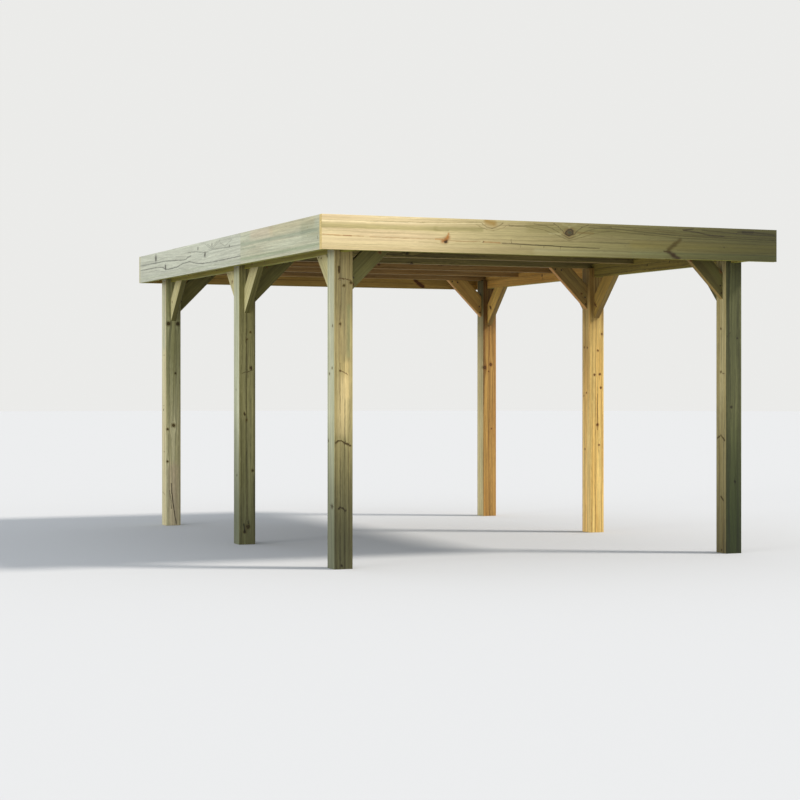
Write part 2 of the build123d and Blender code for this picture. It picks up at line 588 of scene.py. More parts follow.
@dataclass(frozen=True)
class PlanedPine:
    """Pressure-treated pine, planed and then left outdoors.

    The preservative turns the pale early wood olive and the dark late wood brown, and knots
    stay red-brown with a resinous halo. The grey-green of faces lit only by the sky is painted
    skylight in their tones. Rings of real pine are 2 to 6 mm wide. They are drawn 20 to 34 mm
    wide, as a pixel of the render is about 7 mm and finer ones would not show.
    """

    early: str
    late: str
    bloom: str
    knot: str = "#5A3D26"
    halo: str = "#8A6236"
    bark: str = "#2E2216"
    end: str = "#A08A5A"
    end_late: str = "#5F4A2C"
    end_late_depth: float = 0.14
    ring_mm: float = 20.0
    ring_swing: float = 2.2  # how far the rings' even spacing is upset, in rings
    late_from: float = 0.2  # the share of a ring at which the late wood sets in
    late_to: float = 0.86  # and at which it is darkest
    late_depth: float = 0.75
    streak_depth: float = 0.2
    bloom_depth: float = 0.8
    bloom_size: Point = (900.0, 55.0, 55.0)
    wide_streak: Point = (1800.0, 14.0, 14.0)  # in mm: bands of stronger late wood
    streak: Point = (520.0, 11.0, 11.0)  # coarse weathered streaks
    fibre: Point = (90.0, 2.5, 2.5)  # the planed surface's fine, raised fibre
    swing_mm: float = 26.0
    wave_sizes: tuple[Spot, Spot] = ((1100.0, 170.0), (240.0, 55.0))
    fray_size: Spot = (45.0, 12.0)
    fray_mm: Point = (26.0, 9.0, 9.0)
    broad_mm: float = 30.0  # stains at least this wide lie under the knots
    no_knot: float = 1000.0  # the distance in knot radii on a board without knots
    painted_shade: PaintedShadeFade | None = None

    def axis(self, tree: Tree, place: Socket, mark: Knot | Stain) -> tuple[Socket, Socket, Socket, float]:
        """Find the point of a mark's axis that lies nearest.

        Args:
            tree: the material's nodes.
            place: the place in the board, in mm.
            mark: the knot or stain.

        Returns:
            How far along the axis that point lies, the place and the point from the axis's start, and the
            axis's length.
        """
        rod = Vector(mark.end) - Vector(mark.start)
        way = rod.normalized()
        offset = add(tree, "VectorMath", (place, mark.start), operation="SUBTRACT")
        reach = add(tree, "VectorMath", (offset, way), 1, operation="DOT_PRODUCT")
        inside = add(tree, "Clamp", (reach, 0, rod.length))
        foot = add(tree, "VectorMath", {0: way, "Scale": inside}, operation="SCALE")
        return inside, offset, foot, rod.length

    def bend_grain(self, tree: Tree, place: Socket, knots: Sequence[Knot]) -> tuple[Socket, Socket]:
        """Part the grain round each knot.

        Args:
            tree: the material's nodes.
            place: the place in the board, in mm.
            knots: the knots.

        Returns:
            The place that the grain had before the knots parted it, and the distance from the nearest knot's
            axis in knot radii.
        """
        nearest: Socket | None = None
        flow = place
        for knot in knots:
            inside, offset, foot, length = self.axis(tree, place, knot)
            gap = add(tree, "VectorMath", (offset, foot), operation="SUBTRACT")
            radius = add(tree, "MapRange", (inside, 0, length, knot.radius, knot.end_radius))
            distance = add(tree, "VectorMath", (gap,), 1, operation="LENGTH")
            ratio = add(tree, "Math", (distance, radius), operation="DIVIDE")
            squeezed = add(tree, "VectorMath", (gap, (0.38, 1, 1)), operation="MULTIPLY")
            stretched = add(tree, "VectorMath", (squeezed,), 1, operation="LENGTH")
            spread = add(tree, "Math", (stretched, radius), operation="DIVIDE")
            pull = add(tree, "MapRange", (spread, 0.6, 3.4, 0.8, 0), interpolation_type="SMOOTHSTEP")
            shift = add(tree, "VectorMath", {0: gap, "Scale": pull}, operation="SCALE")
            flow = add(tree, "VectorMath", (flow, shift), operation="SUBTRACT")
            if nearest is None:
                nearest = ratio
            else:
                nearest = add(tree, "Math", (nearest, ratio), operation="MINIMUM")
        if nearest is None:
            far = add(tree, "VectorMath", (place,), 1, operation="LENGTH")
            nearest = add(tree, "Math", (far, self.no_knot), operation="ADD")
        return flow, nearest

    def swing(self, tree: Tree, place: Socket, moved: Socket, size: Spot, shift: Point, most: Point,
              detail: int) -> Socket:
        """Move places to and fro by noise.

        Args:
            tree: the material's nodes.
            place: where the noise is read, in mm.
            moved: the place that is moved.
            size: how long and wide one swing is, in mm.
            shift: tells one board's swings from another's.
            most: the range of the swings along, across and through the board, in mm.
            detail: how much finer noise is laid over it.

        Returns:
            The moved place.
        """
        long_mm, wide_mm = size
        stretched = add(tree, "VectorMath", (place, (1 / long_mm, 1 / wide_mm, 1 / wide_mm), shift),
                        operation="MULTIPLY_ADD")
        waves = add(tree, "TexNoise", {"Vector": stretched, "Scale": 1, "Detail": detail}, 1)
        centred = add(tree, "VectorMath", (waves, (0.5, 0.5, 0.5)), operation="SUBTRACT")
        return add(tree, "VectorMath", (centred, most, moved), operation="MULTIPLY_ADD")

    def wander(self, tree: Tree, flow: Socket, seed: float) -> Socket:
        """Give the grain the slow waves and small ripples of a tree that grew outdoors.

        Args:
            tree: the material's nodes.
            flow: the place in the board, in mm.
            seed: tells one board's waves from another's.

        Returns:
            The place with the waves taken out.
        """
        bent = flow
        for size, swing_mm in zip(self.wave_sizes, (self.swing_mm, self.swing_mm / 5)):
            bent = self.swing(tree, flow, bent, size, (seed, seed * 0.7, 0), (0, swing_mm, swing_mm), 1)
        return bent

    def rings(self, tree: Tree, bent: Socket, pith: Spot) -> Socket:
        """Draw the growth rings round the pith.

        Args:
            tree: the material's nodes.
            bent: the place in the log, in mm.
            pith: where the pith runs, as (across, through).

        Returns:
            How much late wood there is, from 0 to 1.
        """
        from_pith = add(tree, "VectorMath", (bent, (0, *pith)), operation="SUBTRACT")
        flat = add(tree, "VectorMath", (from_pith, (0, 1, 1)), operation="MULTIPLY")
        radius = add(tree, "VectorMath", (flat,), 1, operation="LENGTH")
        scaled = add(tree, "Math", (radius, self.ring_mm), operation="DIVIDE")
        uneven = add(tree, "TexNoise", {"W": scaled, "Scale": 0.45, "Detail": 1}, noise_dimensions="1D")
        years = add(tree, "Math", (uneven, self.ring_swing, scaled), operation="MULTIPLY_ADD")
        season = add(tree, "Math", (years,), operation="FRACT")
        rise = add(tree, "MapRange", (season, self.late_from, self.late_to),
                   interpolation_type="SMOOTHSTEP")
        fall = add(tree, "MapRange", (season, 0.9, 1, 1, 0))
        year = add(tree, "Math", (years,), operation="FLOOR")
        luck = add(tree, "TexWhiteNoise", {"W": year}, noise_dimensions="1D")
        vigour = add(tree, "MapRange", (luck, 0, 1, 0.3))
        late = add(tree, "Math", (rise, fall), operation="MULTIPLY")
        return add(tree, "Math", (late, vigour), operation="MULTIPLY")

    def streaks(self, tree: Tree, bent: Socket, size: Point, seed: float, detail: float) -> Socket:
        """Draw noise that is drawn out along the grain.

        Args:
            tree: the material's nodes.
            bent: the place in the log, in mm.
            size: how long, wide and thick one streak is, in mm.
            seed: tells one board's streaks from another's.
            detail: how much finer noise is laid over it.

        Returns:
            The noise, from 0 to 1.
        """
        scale = tuple(1 / mm for mm in size)
        stretched = add(tree, "VectorMath", (bent, scale, (seed * 3.1, seed, seed * 1.7)),
                        operation="MULTIPLY_ADD")
        return add(tree, "TexNoise", {"Vector": stretched, "Scale": 1, "Detail": detail})

    def stained(self, tree: Tree, colour: Socket, place: Socket, stains: Sequence[Stain]) -> Socket:
        """Lay the board's own stains over its colour.

        Args:
            tree: the material's nodes.
            colour: the colour so far.
            place: the place in the board, in mm.
            stains: the stains.

        Returns:
            The stained colour.
        """
        for stain in stains:
            _, offset, foot, _ = self.axis(tree, place, stain)
            distance = add(tree, "VectorMath", (offset, foot), 1, operation="DISTANCE")
            share = add(tree, "MapRange", (distance, 0, stain.radius, stain.strength, 0),
                        interpolation_type="SMOOTHSTEP")
            colour = add(tree, "Mix", {0: share, 6: colour, 7: stain.colour}, 2, data_type="RGBA")
        return colour

    def face_material(self, board: Board, name: str, knots: Sequence[Knot],
                      stains: Sequence[Stain]) -> bpy.types.Material:
        """Make the wood of one or more of a board's long faces.

        Args:
            board: the board's sizes and how it was cut from its log.
            name: the end of the material's name.
            knots: the knots that reach the faces.
            stains: the stains that reach them.

        Returns:
            The material.
        """
        material, tree = new_material(f"planed_pine_{board.node}_{name}")
        seed = random.Random(board.node + " seed").uniform(0.0, 40.0)
        place = add(tree, "Attribute", {}, 1, attribute_name="grain")
        frayed = self.fray(tree, place, seed)
        flow, knot_ratio = self.bend_grain(tree, frayed, knots)
        bent = self.wander(tree, flow, seed)
        late = self.rings(tree, bent, board.log.pith)
        colour, end_face = self.body_colour(tree, place, bent, late, board, seed)
        colour = self.stained(tree, colour, frayed, [s for s in stains if s.radius >= self.broad_mm])
        if knots:
            colour = self.knotted(tree, colour, knot_ratio)
        colour = self.stained(tree, colour, frayed, [s for s in stains if s.radius < self.broad_mm])
        # Painted shade along the board: the colour is multiplied by the fade's tone.
        if self.painted_shade:
            along = add(tree, "SeparateXYZ", (place,))
            share = add(tree, "MapRange", (along, self.painted_shade.start, self.painted_shade.end))
            tint = add(tree, "Gamma", {"Color": self.painted_shade.tone, "Gamma": share})
            colour = add(tree, "VectorMath", (colour, tint), operation="MULTIPLY")
        fibre = self.streaks(tree, place, self.fibre, seed, 3.0)
        tint = add(tree, "MapRange", (fibre, 0.25, 0.75, 0.82, 1.12))
        colour = add(tree, "VectorMath", {0: colour, "Scale": tint}, operation="SCALE")
        coarse = self.streaks(tree, bent, self.streak, seed + 4.0, 3.0)
        shade = add(tree, "MapRange", (coarse, 0.34, 0.66, 1 - self.streak_depth, 1.08))
        colour = add(tree, "VectorMath", {0: colour, "Scale": shade}, operation="SCALE")
        # Painted shade on the walls of checks and screw pockets.
        colour = self.sunk(tree, colour, place, end_face, board)
        height = self.relief(tree, late, fibre, knot_ratio)
        normal = add(tree, "Bump", {"Strength": 0.8, "Distance": MM, "Height": height})
        rough = add(tree, "MapRange", (late, 0, 1, 0.78, 0.62))
        shader = add(tree, "BsdfPrincipled",
                     {"Base Color": colour, "Roughness": rough, "IOR": 1.53, "Normal": normal,
                      "Specular IOR Level": 0.3})
        add(tree, "OutputMaterial", {"Surface": shader})
        return material

    def fray(self, tree: Tree, place: Socket, seed: float) -> Socket:
        """Shift each place by a few mm, so that knots and stains get ragged edges."""
        return self.swing(tree, place, place, self.fray_size, (seed, seed, seed), self.fray_mm, 2)

    def sunk(self, tree: Tree, colour: Socket, place: Socket, end_face: Socket, board: Board) -> Socket:
        """Darken the walls of checks and screw pockets: painted shade in these recesses.

        Args:
            tree: the material's nodes.
            colour: the colour so far.
            place: the place in the board, in mm.
            end_face: 1 on the board's end faces.
            board: the board's sizes.

        Returns:
            The darkened colour.
        """
        out = add(tree, "VectorMath", (place,), operation="ABSOLUTE")
        under = add(tree, "VectorMath", ((0, board.depth / 2, board.thickness / 2), out),
                    operation="SUBTRACT")
        across = add(tree, "SeparateXYZ", (under,), 1)
        depth = add(tree, "Math", (across, across.node.outputs[2]), operation="MINIMUM")
        recess_shade = add(tree, "MapRange", (depth, 1, 5, 0, 0.85))
        side_on = add(tree, "Math", (1, end_face), operation="SUBTRACT")
        share = add(tree, "Math", (recess_shade, side_on), operation="MULTIPLY")
        return add(tree, "Mix", {0: share, 6: colour, 7: self.bark}, 2, data_type="RGBA")

    def body_colour(self, tree: Tree, place: Socket, bent: Socket, late: Socket, board: Board,
                    seed: float) -> tuple[Socket, Socket]:
        """Colour the wood between the knots.

        Args:
            tree: the material's nodes.
            place: the place in the board, in mm.
            bent: the place in the log, in mm.
            late: the share of late wood.
            board: the board's sizes and directions.
            seed: tells one board's colours from another's.

        Returns:
            The colour, and 1 on the board's end faces.
        """
        patch = self.streaks(tree, bent, self.bloom_size, seed, 2.0)
        patch_share = add(tree, "MapRange", (patch, 0.4, 0.65, 0, self.bloom_depth),
                          interpolation_type="SMOOTHSTEP")
        tone = add(tree, "Mix", {0: patch_share, 6: self.early, 7: self.bloom}, 2, data_type="RGBA")
        wide = self.streaks(tree, bent, self.wide_streak, seed + 9.0, 2.0)
        wide_share = add(tree, "MapRange", (wide, 0.5, 0.7, 0, self.late_depth * 0.6))
        late_depth: Socket | float = self.late_depth
        if self.painted_shade and self.painted_shade.late_depth is not None:
            along = add(tree, "SeparateXYZ", (place,))
            late_depth = add(tree, "MapRange",
                             (along, self.painted_shade.start, self.painted_shade.end, self.late_depth, self.painted_shade.late_depth))
        late_share = add(tree, "Math", (late, late_depth, wide_share), operation="MULTIPLY_ADD",
                         use_clamp=True)
        tone = add(tree, "Mix", {0: late_share, 6: tone, 7: self.late}, 2, data_type="RGBA")
        normal = add(tree, "NewGeometry", {}, 1)
        along_face = add(tree, "VectorMath", (normal, board.along), 1, operation="DOT_PRODUCT")
        facing = add(tree, "Math", (along_face,), operation="ABSOLUTE")
        end_face = add(tree, "MapRange", (facing, 0.45, 0.6))
        end_late = add(tree, "Mix", {0: self.end_late_depth, 6: self.end, 7: self.end_late}, 2,
                       data_type="RGBA")
        end_tone = add(tree, "Mix", {0: late, 6: self.end, 7: end_late}, 2, data_type="RGBA")
        return add(tree, "Mix", {0: end_face, 6: tone, 7: end_tone}, 2, data_type="RGBA"), end_face

    def knotted(self, tree: Tree, colour: Socket, ratio: Socket) -> Socket:
        """Lay the knots over the wood: a halo of darker grain, a bark line and a brown heart.

        Args:
            tree: the material's nodes.
            colour: the wood between the knots.
            ratio: the distance from a knot's axis in knot radii.

        Returns:
            The colour with its knots.
        """
        halo = add(tree, "MapRange", (ratio, 0.8, 2.6, 0.75, 0), interpolation_type="SMOOTHSTEP")
        colour = add(tree, "Mix", {0: halo, 6: colour, 7: self.halo}, 2, data_type="RGBA")
        bark = add(tree, "MapRange", (ratio, 0.9, 1.25, 0.85, 0))
        colour = add(tree, "Mix", {0: bark, 6: colour, 7: self.bark}, 2, data_type="RGBA")
        turns = add(tree, "Math", (ratio, 3), operation="MULTIPLY")
        rings = add(tree, "Math", (turns,), operation="FRACT")
        heart_tone = add(tree, "Mix", {0: rings, 6: self.knot, 7: self.halo}, 2, data_type="RGBA")
        heart = add(tree, "MapRange", (ratio, 0.65, 0.9, 0.8, 0))
        return add(tree, "Mix", {0: heart, 6: colour, 7: heart_tone}, 2, data_type="RGBA")

    def relief(self, tree: Tree, late: Socket, fibre: Socket, ratio: Socket) -> Socket:
        """Shape the surface: weather leaves late wood and knots proud of the early wood.

        Args:
            tree: the material's nodes.
            late: the share of late wood.
            fibre: fine noise along the grain.
            ratio: the distance from a knot's axis in knot radii.

        Returns:
            The height in mm.
        """
        knots = add(tree, "MapRange", (ratio, 0.9, 1.5, 0.35, 0))
        ridges = add(tree, "Math", (late, 0.3, knots), operation="MULTIPLY_ADD")
        return add(tree, "Math", (fibre, 0.5, ridges), operation="MULTIPLY_ADD")


@dataclass(frozen=True)
class BoardFinish:
    """The wood on a board's four long faces. Those that are left out are like the outer one.

    A board with no more than few_marks knots and stains carries all of them on every face.
    """

    outer: PlanedPine
    lower: PlanedPine | None = None
    inner: PlanedPine | None = None
    upper: PlanedPine | None = None
    few_marks: int = 5

    def on(self, face: Side) -> PlanedPine:
        """The wood on one face."""
        return getattr(self, face.name.lower()) or self.outer

    def dress(self, piece: bpy.types.Object, board: Board) -> None:
        """Give a board its wood. Faces with the same knots, stains and wood share a material.

        Args:
            piece: the board's object.
            board: its sizes and how it was cut from its log.
        """
        made: dict[tuple, bpy.types.Material] = {}
        marks = board.log.knots, board.log.stains
        few = sum(map(len, marks)) <= self.few_marks
        for zone in range(board.zones):
            for face in Side:
                shown = [tuple(mark for mark in kind if board.near_zone(zone, mark)
                               and (few or board.near_face(face, mark))) for kind in marks]
                key = (self.on(face), *shown)
                if key not in made:
                    name = f"{face.name.lower()}_{zone + 1}"
                    made[key] = self.on(face).face_material(board, name, *shown)
                piece.data.materials.append(made[key])


def wild_knots(name: str, size: Point, pith: Spot, spacing: float, most: int, widest: float = 12.0,
               end_gap: float = 60.0, past: float = 30.0) -> tuple[Knot, ...]:
    """Grow the knots of a board that the view shows little of, in whorls along its pith.

    Args:
        name: the board's name, which seeds them.
        size: its length, depth and thickness.
        pith: where its pith runs, as (across, through).
        spacing: the mean distance between whorls.
        most: the most knots that it may have.
        widest: the largest radius of a knot.
        end_gap: how far the last whorl stays from the board's end.
        past: how far a knot runs on past the face.

    Returns:
        The knots, which run from the pith out through a face.
    """
    length, depth, thickness = size
    rng = random.Random(name + " knots")
    knots: list[Knot] = []
    place = -length / 2 + rng.uniform(0.15, 0.8) * spacing
    while place < length / 2 - end_gap and len(knots) < most:
        for _ in range(rng.choice((1, 1, 2))):
            target = (rng.uniform(-0.5, 0.5) * depth, rng.choice((-0.5, 0.5)) * thickness)
            start = Vector((place, *pith))
            way = Vector((rng.uniform(-20, 40), target[0] - pith[0], target[1] - pith[1]))
            end = start + way.normalized() * (way.length + past)
            radius = rng.uniform(0.45, 1.0) * widest
            knots.append(Knot(tuple(start), tuple(end), radius * 0.3, radius))
        place += spacing * rng.uniform(0.6, 1.3)
    return tuple(knots[:most])


GREY_BLUE = "#97A69C"
DARK_LINE = "#4A3720"
RED_LINE = "#A5733F"
RESIN = "#B97A35"
BAND = "#A9A06C"

# What the tones of one kind of board share
POST = {"ring_mm": 26.0, "late_depth": 0.8, "streak_depth": 0.34, "knot": "#3C2E16", "halo": "#76642F"}
WARM_POST = POST | {"knot": "#46290F", "halo": "#94602A"}
GREY_POST = {"ring_mm": 26.0, "knot": "#5A4A30", "halo": "#8C8664", "bark": "#3A3422"}
BRACE = {"ring_mm": 26.0, "late_depth": 0.4, "end": "#7F6238"}
UNDER = {"knot": "#41281A", "halo": "#6A4626"}

# The tones of the faces carry painted light and shade: one pine is written cream and orange
# where sunlight is painted, grey-green where skylight is painted, and olive and brown where
# shade is painted.
CREAM = PlanedPine("#DBCCA1", "#9B8E63", "#D6C19D", ring_mm=23.0, late_from=0.35, late_depth=0.3,
                   bloom_depth=0.5, bark="#1E1A12", halo="#A98A5C", end="#D2BE84", streak_depth=0.1,
                   painted_shade=PaintedShadeFade(-1150, 1720, "#575E44", 0.95))
SAGE = PlanedPine("#C0C5B1", "#9FA894", "#BFBAA1", ring_mm=34.0, late_from=0.5, late_depth=0.3,
                  bloom_depth=0.4, knot="#7A746A", halo="#9C9C90", bark="#5C5C54", end="#B7B59E")
WAVY_SAGE = PlanedPine("#C6CCBF", "#9BA397", "#BEC2B5", ring_mm=30.0, late_from=0.6, late_depth=0.35,
                       bloom_depth=0.5, swing_mm=64.0, knot="#55544C", halo="#8A8C84", bark="#33322C",
                       end="#B7B59E")
POST_SAGE = PlanedPine("#C8CCB2", "#92987D", "#B7BD9F", late_depth=0.6, painted_shade=PaintedShadeFade(-65, -961, "#9C9F98"),
                       **GREY_POST)
PALE_SAGE = PlanedPine("#D4D0AA", "#A39E7C", "#CEC29A", late_depth=0.35, **GREY_POST)
OLIVE = PlanedPine("#BBB17F", "#82774B", "#BAAA72", bark="#2A1D10", painted_shade=PaintedShadeFade(-65, -961, "#747C7A"), **POST)
DARK_OLIVE = PlanedPine("#A7A472", "#67633F", "#928F5E", bark="#241A0E", painted_shade=PaintedShadeFade(-65, -961, "#BABEC2"),
                        **POST)
DIM_OLIVE = PlanedPine("#606442", "#37391E", "#595D3C", bark="#1C1A0E", painted_shade=PaintedShadeFade(-65, -961, "#899D81"),
                       **(POST | {"knot": "#242010", "halo": "#3C3A1E"}))
TAN = PlanedPine("#E2DFB5", "#999470", "#D1CC9A", bark="#2E2213", painted_shade=PaintedShadeFade(-300, 450, "#C4CABE"), **POST)
WARM_TAN = PlanedPine("#C3BA8C", "#857C57", "#B1A471", bark="#33261A", painted_shade=PaintedShadeFade(100, -1100, "#98968A"),
                      **POST)
BACK_POST_TAN = PlanedPine("#D1C799", "#8E835F", "#BEB07C", ring_mm=26.0, late_depth=0.6, bark="#33261A",
                           knot="#3C2E16", halo="#76642F", painted_shade=PaintedShadeFade(560, 1000, "#9A9C90"))
ORANGE = PlanedPine("#F1D487", "#BE9854", "#EAC26E", painted_shade=PaintedShadeFade(620, 860, "#B6B2AC"), **WARM_POST)
DEEP_ORANGE = PlanedPine("#FFE299", "#BE9556", "#F7CB79", painted_shade=PaintedShadeFade(640, 1000, "#B0AEAA"), **WARM_POST)
AMBER = PlanedPine("#C29B57", "#876130", "#B48546", painted_shade=PaintedShadeFade(620, 860, "#A8A8A8"), **WARM_POST)
BRACE_OLIVE = PlanedPine("#7A7848", "#4E4D2A", "#6C6A3F", ring_mm=26.0, late_depth=0.4, end="#8F8455")
BRACE_SAGE = PlanedPine("#D2CE9E", "#A6A478", "#C4BE8C", ring_mm=26.0, late_depth=0.35, end="#A9A680")
BRACE_DARK = PlanedPine("#666539", "#3E3A1B", "#5A532D", **BRACE)
BRACE_BROWN = PlanedPine("#A18D57", "#65512C", "#8D7445", **BRACE)
BRACE_TAN = PlanedPine("#CDAD5F", "#826635", "#B5904D", **BRACE)
BACK_BRACE_TAN = PlanedPine("#F7D477", "#A07D44", "#DAB062", **BRACE)
BACK_BRACE_BROWN = PlanedPine("#CBAB65", "#816334", "#B28D50", **BRACE)
BRACE_EDGE = PlanedPine("#E0B47C", "#B58A54", "#D6A468", ring_mm=26.0, late_depth=0.3, end="#C09A60")
HEADER_OUTER = PlanedPine("#B3AE54", "#7E7A38", "#A49E4C")
HEADER_PAINTED_LIGHT = PlanedPine("#F2C672", "#B88A44", "#E5B15B", knot="#41281A", halo="#7A4E26")
UNDER_OLIVE = PlanedPine("#A2A643", "#686B25", "#919135")
UNDER_BROWN = PlanedPine("#A8895A", "#745C32", "#9A7846", **UNDER)
UNDER_EDGE = PlanedPine("#9F8B5D", "#7B673C", "#967F4F", **UNDER)
RAFTER_PAINTED_SHADE = PlanedPine("#8C8250", "#5A5230", "#7E7546", knot="#2C2414", halo="#544A28")
UNDER_GREEN = PlanedPine("#AD9E56", "#635928", "#9B8A45", knot="#3A3018", halo="#6A6030")
BACK_BROWN = PlanedPine("#B99E5C", "#896F39", "#AE904C", knot="#3E2416", halo="#74441F")
BACK_PINE = PlanedPine("#CFC196", "#96845A", "#C2AE7C", end="#C3C4AA")
RIGHT_PINE = PlanedPine("#C9B98C", "#8E7C4E", "#BFA878")


@dataclass
class Fascia:
    """The deep boards round the roof, and the splices behind the side boards' joints."""

    depth: float = 245.0
    thickness: float = 47.0
    back_length: float = 3720.0
    side_lengths: Spot = (1800.0, 3056.0)
    splice_size: Point = (691.0, 120.0, 25.0)
    front_check_width: float = 4.5
    right_rise: float = 30.0  # in the photograph none of the right side boards shows under the headers

    def face(self, side: Side) -> Face:
        """One face of a fascia board."""
        return Face(side, self.depth, self.thickness)

    def front_log(self) -> Log:
        """How the front board was cut: near the pith, which runs low along its face."""
        front, inner = self.face(Side.OUTER), self.face(Side.INNER)
        return Log((-50.0, 12.0), (
            *front.knots((-918, -43, 12)),
            Knot(front.point(30, 40, 30), front.point(78, 52, -5), 18, 25),
            *inner.knots((-1240, -40, 8), (420, 30, 12)),
        ), (
            *front.trails(
                (30, BAND, 0.75, (-1880, 46), (-1000, 45), (-640, 52)),
                (9, "#9A9160", 0.6, (-1880, 34), (-900, 34)),
                (6, "#F0E4BC", 0.7, (-1880, 77), (-1100, 79), (-620, 92)),
                (4, "#8D8154", 0.6, (-1500, 84), (-1100, 87), (-640, 100)),
                (20, "#C9B98A", 0.5, (-1880, -104), (1860, -104)),
                (6, RED_LINE, 0.7, (-1857, -19), (-1700, -23)),
                (7, "#8C5A2A", 0.8, (-1700, -24), (-1640, -24)),
                (5, RED_LINE, 0.6, (-1640, -24), (-1548, -26)),
                (4.5, RED_LINE, 0.5, (-1500, -27), (-1010, -30)),
                (7, RESIN, 0.8, (-1000, -30), (-948, -27)),
                (27, "#A66A2B", 0.85, (-945, -42), (-900, -16)), (12, RESIN, 0.8, (-910, -21), (-898, 14)),
                (17, "#2B1A10", 0.92, (-925, -48), (-911, -42)),
                (5, RED_LINE, 0.6, (-890, -38), (-779, -40), (-653, -37)),
                (10, "#4A2E16", 0.9, (-626, -38), (-624, -38)), (9, RESIN, 0.55, (-620, -38), (-490, -42)),
                # painted shade: a dark line along the check in the front face
                (7, "#5E4A2C", 0.6, (-476, -44), (-203, -49), (-3, -56), (315, -61)),
                (40, "#B8944F", 0.85, (-600, 112), (-540, 96)),
                (6, "#7E6B3C", 0.7, (-640, 95), (-600, 70), (-555, 62), (-500, 78), (-470, 104)),
                (5, "#8D7A48", 0.55, (-680, 84), (-600, 50), (-540, 44), (-470, 66), (-420, 96)),
                (3.5, DARK_LINE, 0.75, (-401, -10), (-401, -46)),
                (3.5, DARK_LINE, 0.7, (-330, -53), (-330, -71)),
                (3.5, DARK_LINE, 0.7, (-136, -56), (-136, -67)),
                (3.5, DARK_LINE, 0.75, (-4, -58), (-4, -84)),
                (3.5, DARK_LINE, 0.7, (536, -30), (536, -38)),
                (62, "#B3A672", 0.55, (-250, 78), (1860, 78)),
                (38, "#EFE6C6", 0.6, (-200, -98), (860, -98)),
                (6, "#7E6E42", 0.6, (-420, 84), (-200, 92), (-60, 100)),
                (7, "#7A683E", 0.75, (230, 92), (420, 90), (700, 70), (1000, 52), (1860, 40)),
                (6, "#867244", 0.65, (240, 66), (420, 70), (700, 54), (1000, 36), (1860, 26)),
                (6, "#8A7648", 0.65, (240, 104), (520, 104), (820, 94), (960, 88)),
                (8, "#6E5E38", 0.75, (1200, 100), (1500, 84), (1860, 74)),
                (20, "#636C5C", 0.8, (66, 52), (78, 50)),
                (16, "#E2D8B4", 0.5, (20, 109), (70, 92), (120, 109)),
                (5, DARK_LINE, 0.7, (-60, 112), (-20, 90), (12, 60), (34, 34), (70, 22), (106, 34),
                 (130, 60), (172, 90), (230, 110)),
                (5, "#6E5E38", 0.65, (-220, 104), (-120, 92), (-50, 66), (6, 34), (70, 6), (134, 26),
                 (190, 56), (280, 84), (420, 98)),
                (5, "#7E6E42", 0.55, (-420, 84), (-250, 78), (-130, 60), (-40, 32), (70, -10), (170, 16),
                 (280, 50), (460, 76)), (11, "#EADFBC", 0.55, (-98, 37), (-3, 37)),
                (12, "#A8803F", 0.5, (137, 50), (267, 50)),
                (6, "#A58B58", 0.75, (600, 90), (861, 77), (991, 70), (1122, 59), (1860, 58)),
                (9, "#6E5A34", 0.85, (1030, 96), (1122, 109)),
                (9, "#6E5A34", 0.85, (1030, 96), (1157, 83), (1261, 64), (1383, 60)),
                (9, "#6E5A34", 0.8, (1510, 96), (1557, 96)), (18, "#5E4C2C", 0.9, (1557, 96), (1643, 96)),
                (10, "#6E5A34", 0.8, (1643, 96), (1840, 84)),
                (50, "#E2CB88", 0.6, (600, -25), (1860, -25)),
                (34, "#CFD0AE", 0.6, (600, -96), (1860, -96)), (5, "#A88E58", 0.5, (600, 6), (1860, 4)),
                (5, "#A88E58", 0.5, (980, -58), (1860, -60)),
                (10, "#7A5C2E", 0.95, (866, -67), (918, -70)),
                (29, "#6A4818", 0.95, (905, -68), (950, -96), (992, -122)),
                (29, "#927829", 0.9, (905, -52), (955, -16), (1003, 20)),
                (10, "#5A4024", 0.9, (1391, -23), (1392, -23))),
        ), (front.check((-476, -44), (315, -61), self.front_check_width, 16),
            inner.check((400, 10), (1100, 22), 2, 8)))

    def left_front_log(self) -> Log:
        """How the left side's shorter board was cut."""
        outer, inner = self.face(Side.OUTER), self.face(Side.INNER)
        return Log((60.0, -90.0), inner.knots((-300, 20, 9)), (
            *outer.trails(
                (22, "#96A18E", 0.8, (-900, 30), (-200, 24), (872, 18)),
                (12, "#98A28E", 0.7, (-900, -8), (-528, -8)),
                (22, "#9FAC92", 0.85, (-900, -86), (900, -86)),
                (80, "#CCBCA6", 0.5, (-620, 90), (-150, 88)), (80, "#C0B692", 0.5, (-150, 88), (760, 84)),
                (110, "#939A80", 0.6, (560, 40), (900, 10)), (8, "#3E3A2A", 0.9, (862, -26), (864, -44))),
        ), (outer.check((-700, -42), (-100, -52), 1.4, 8),))

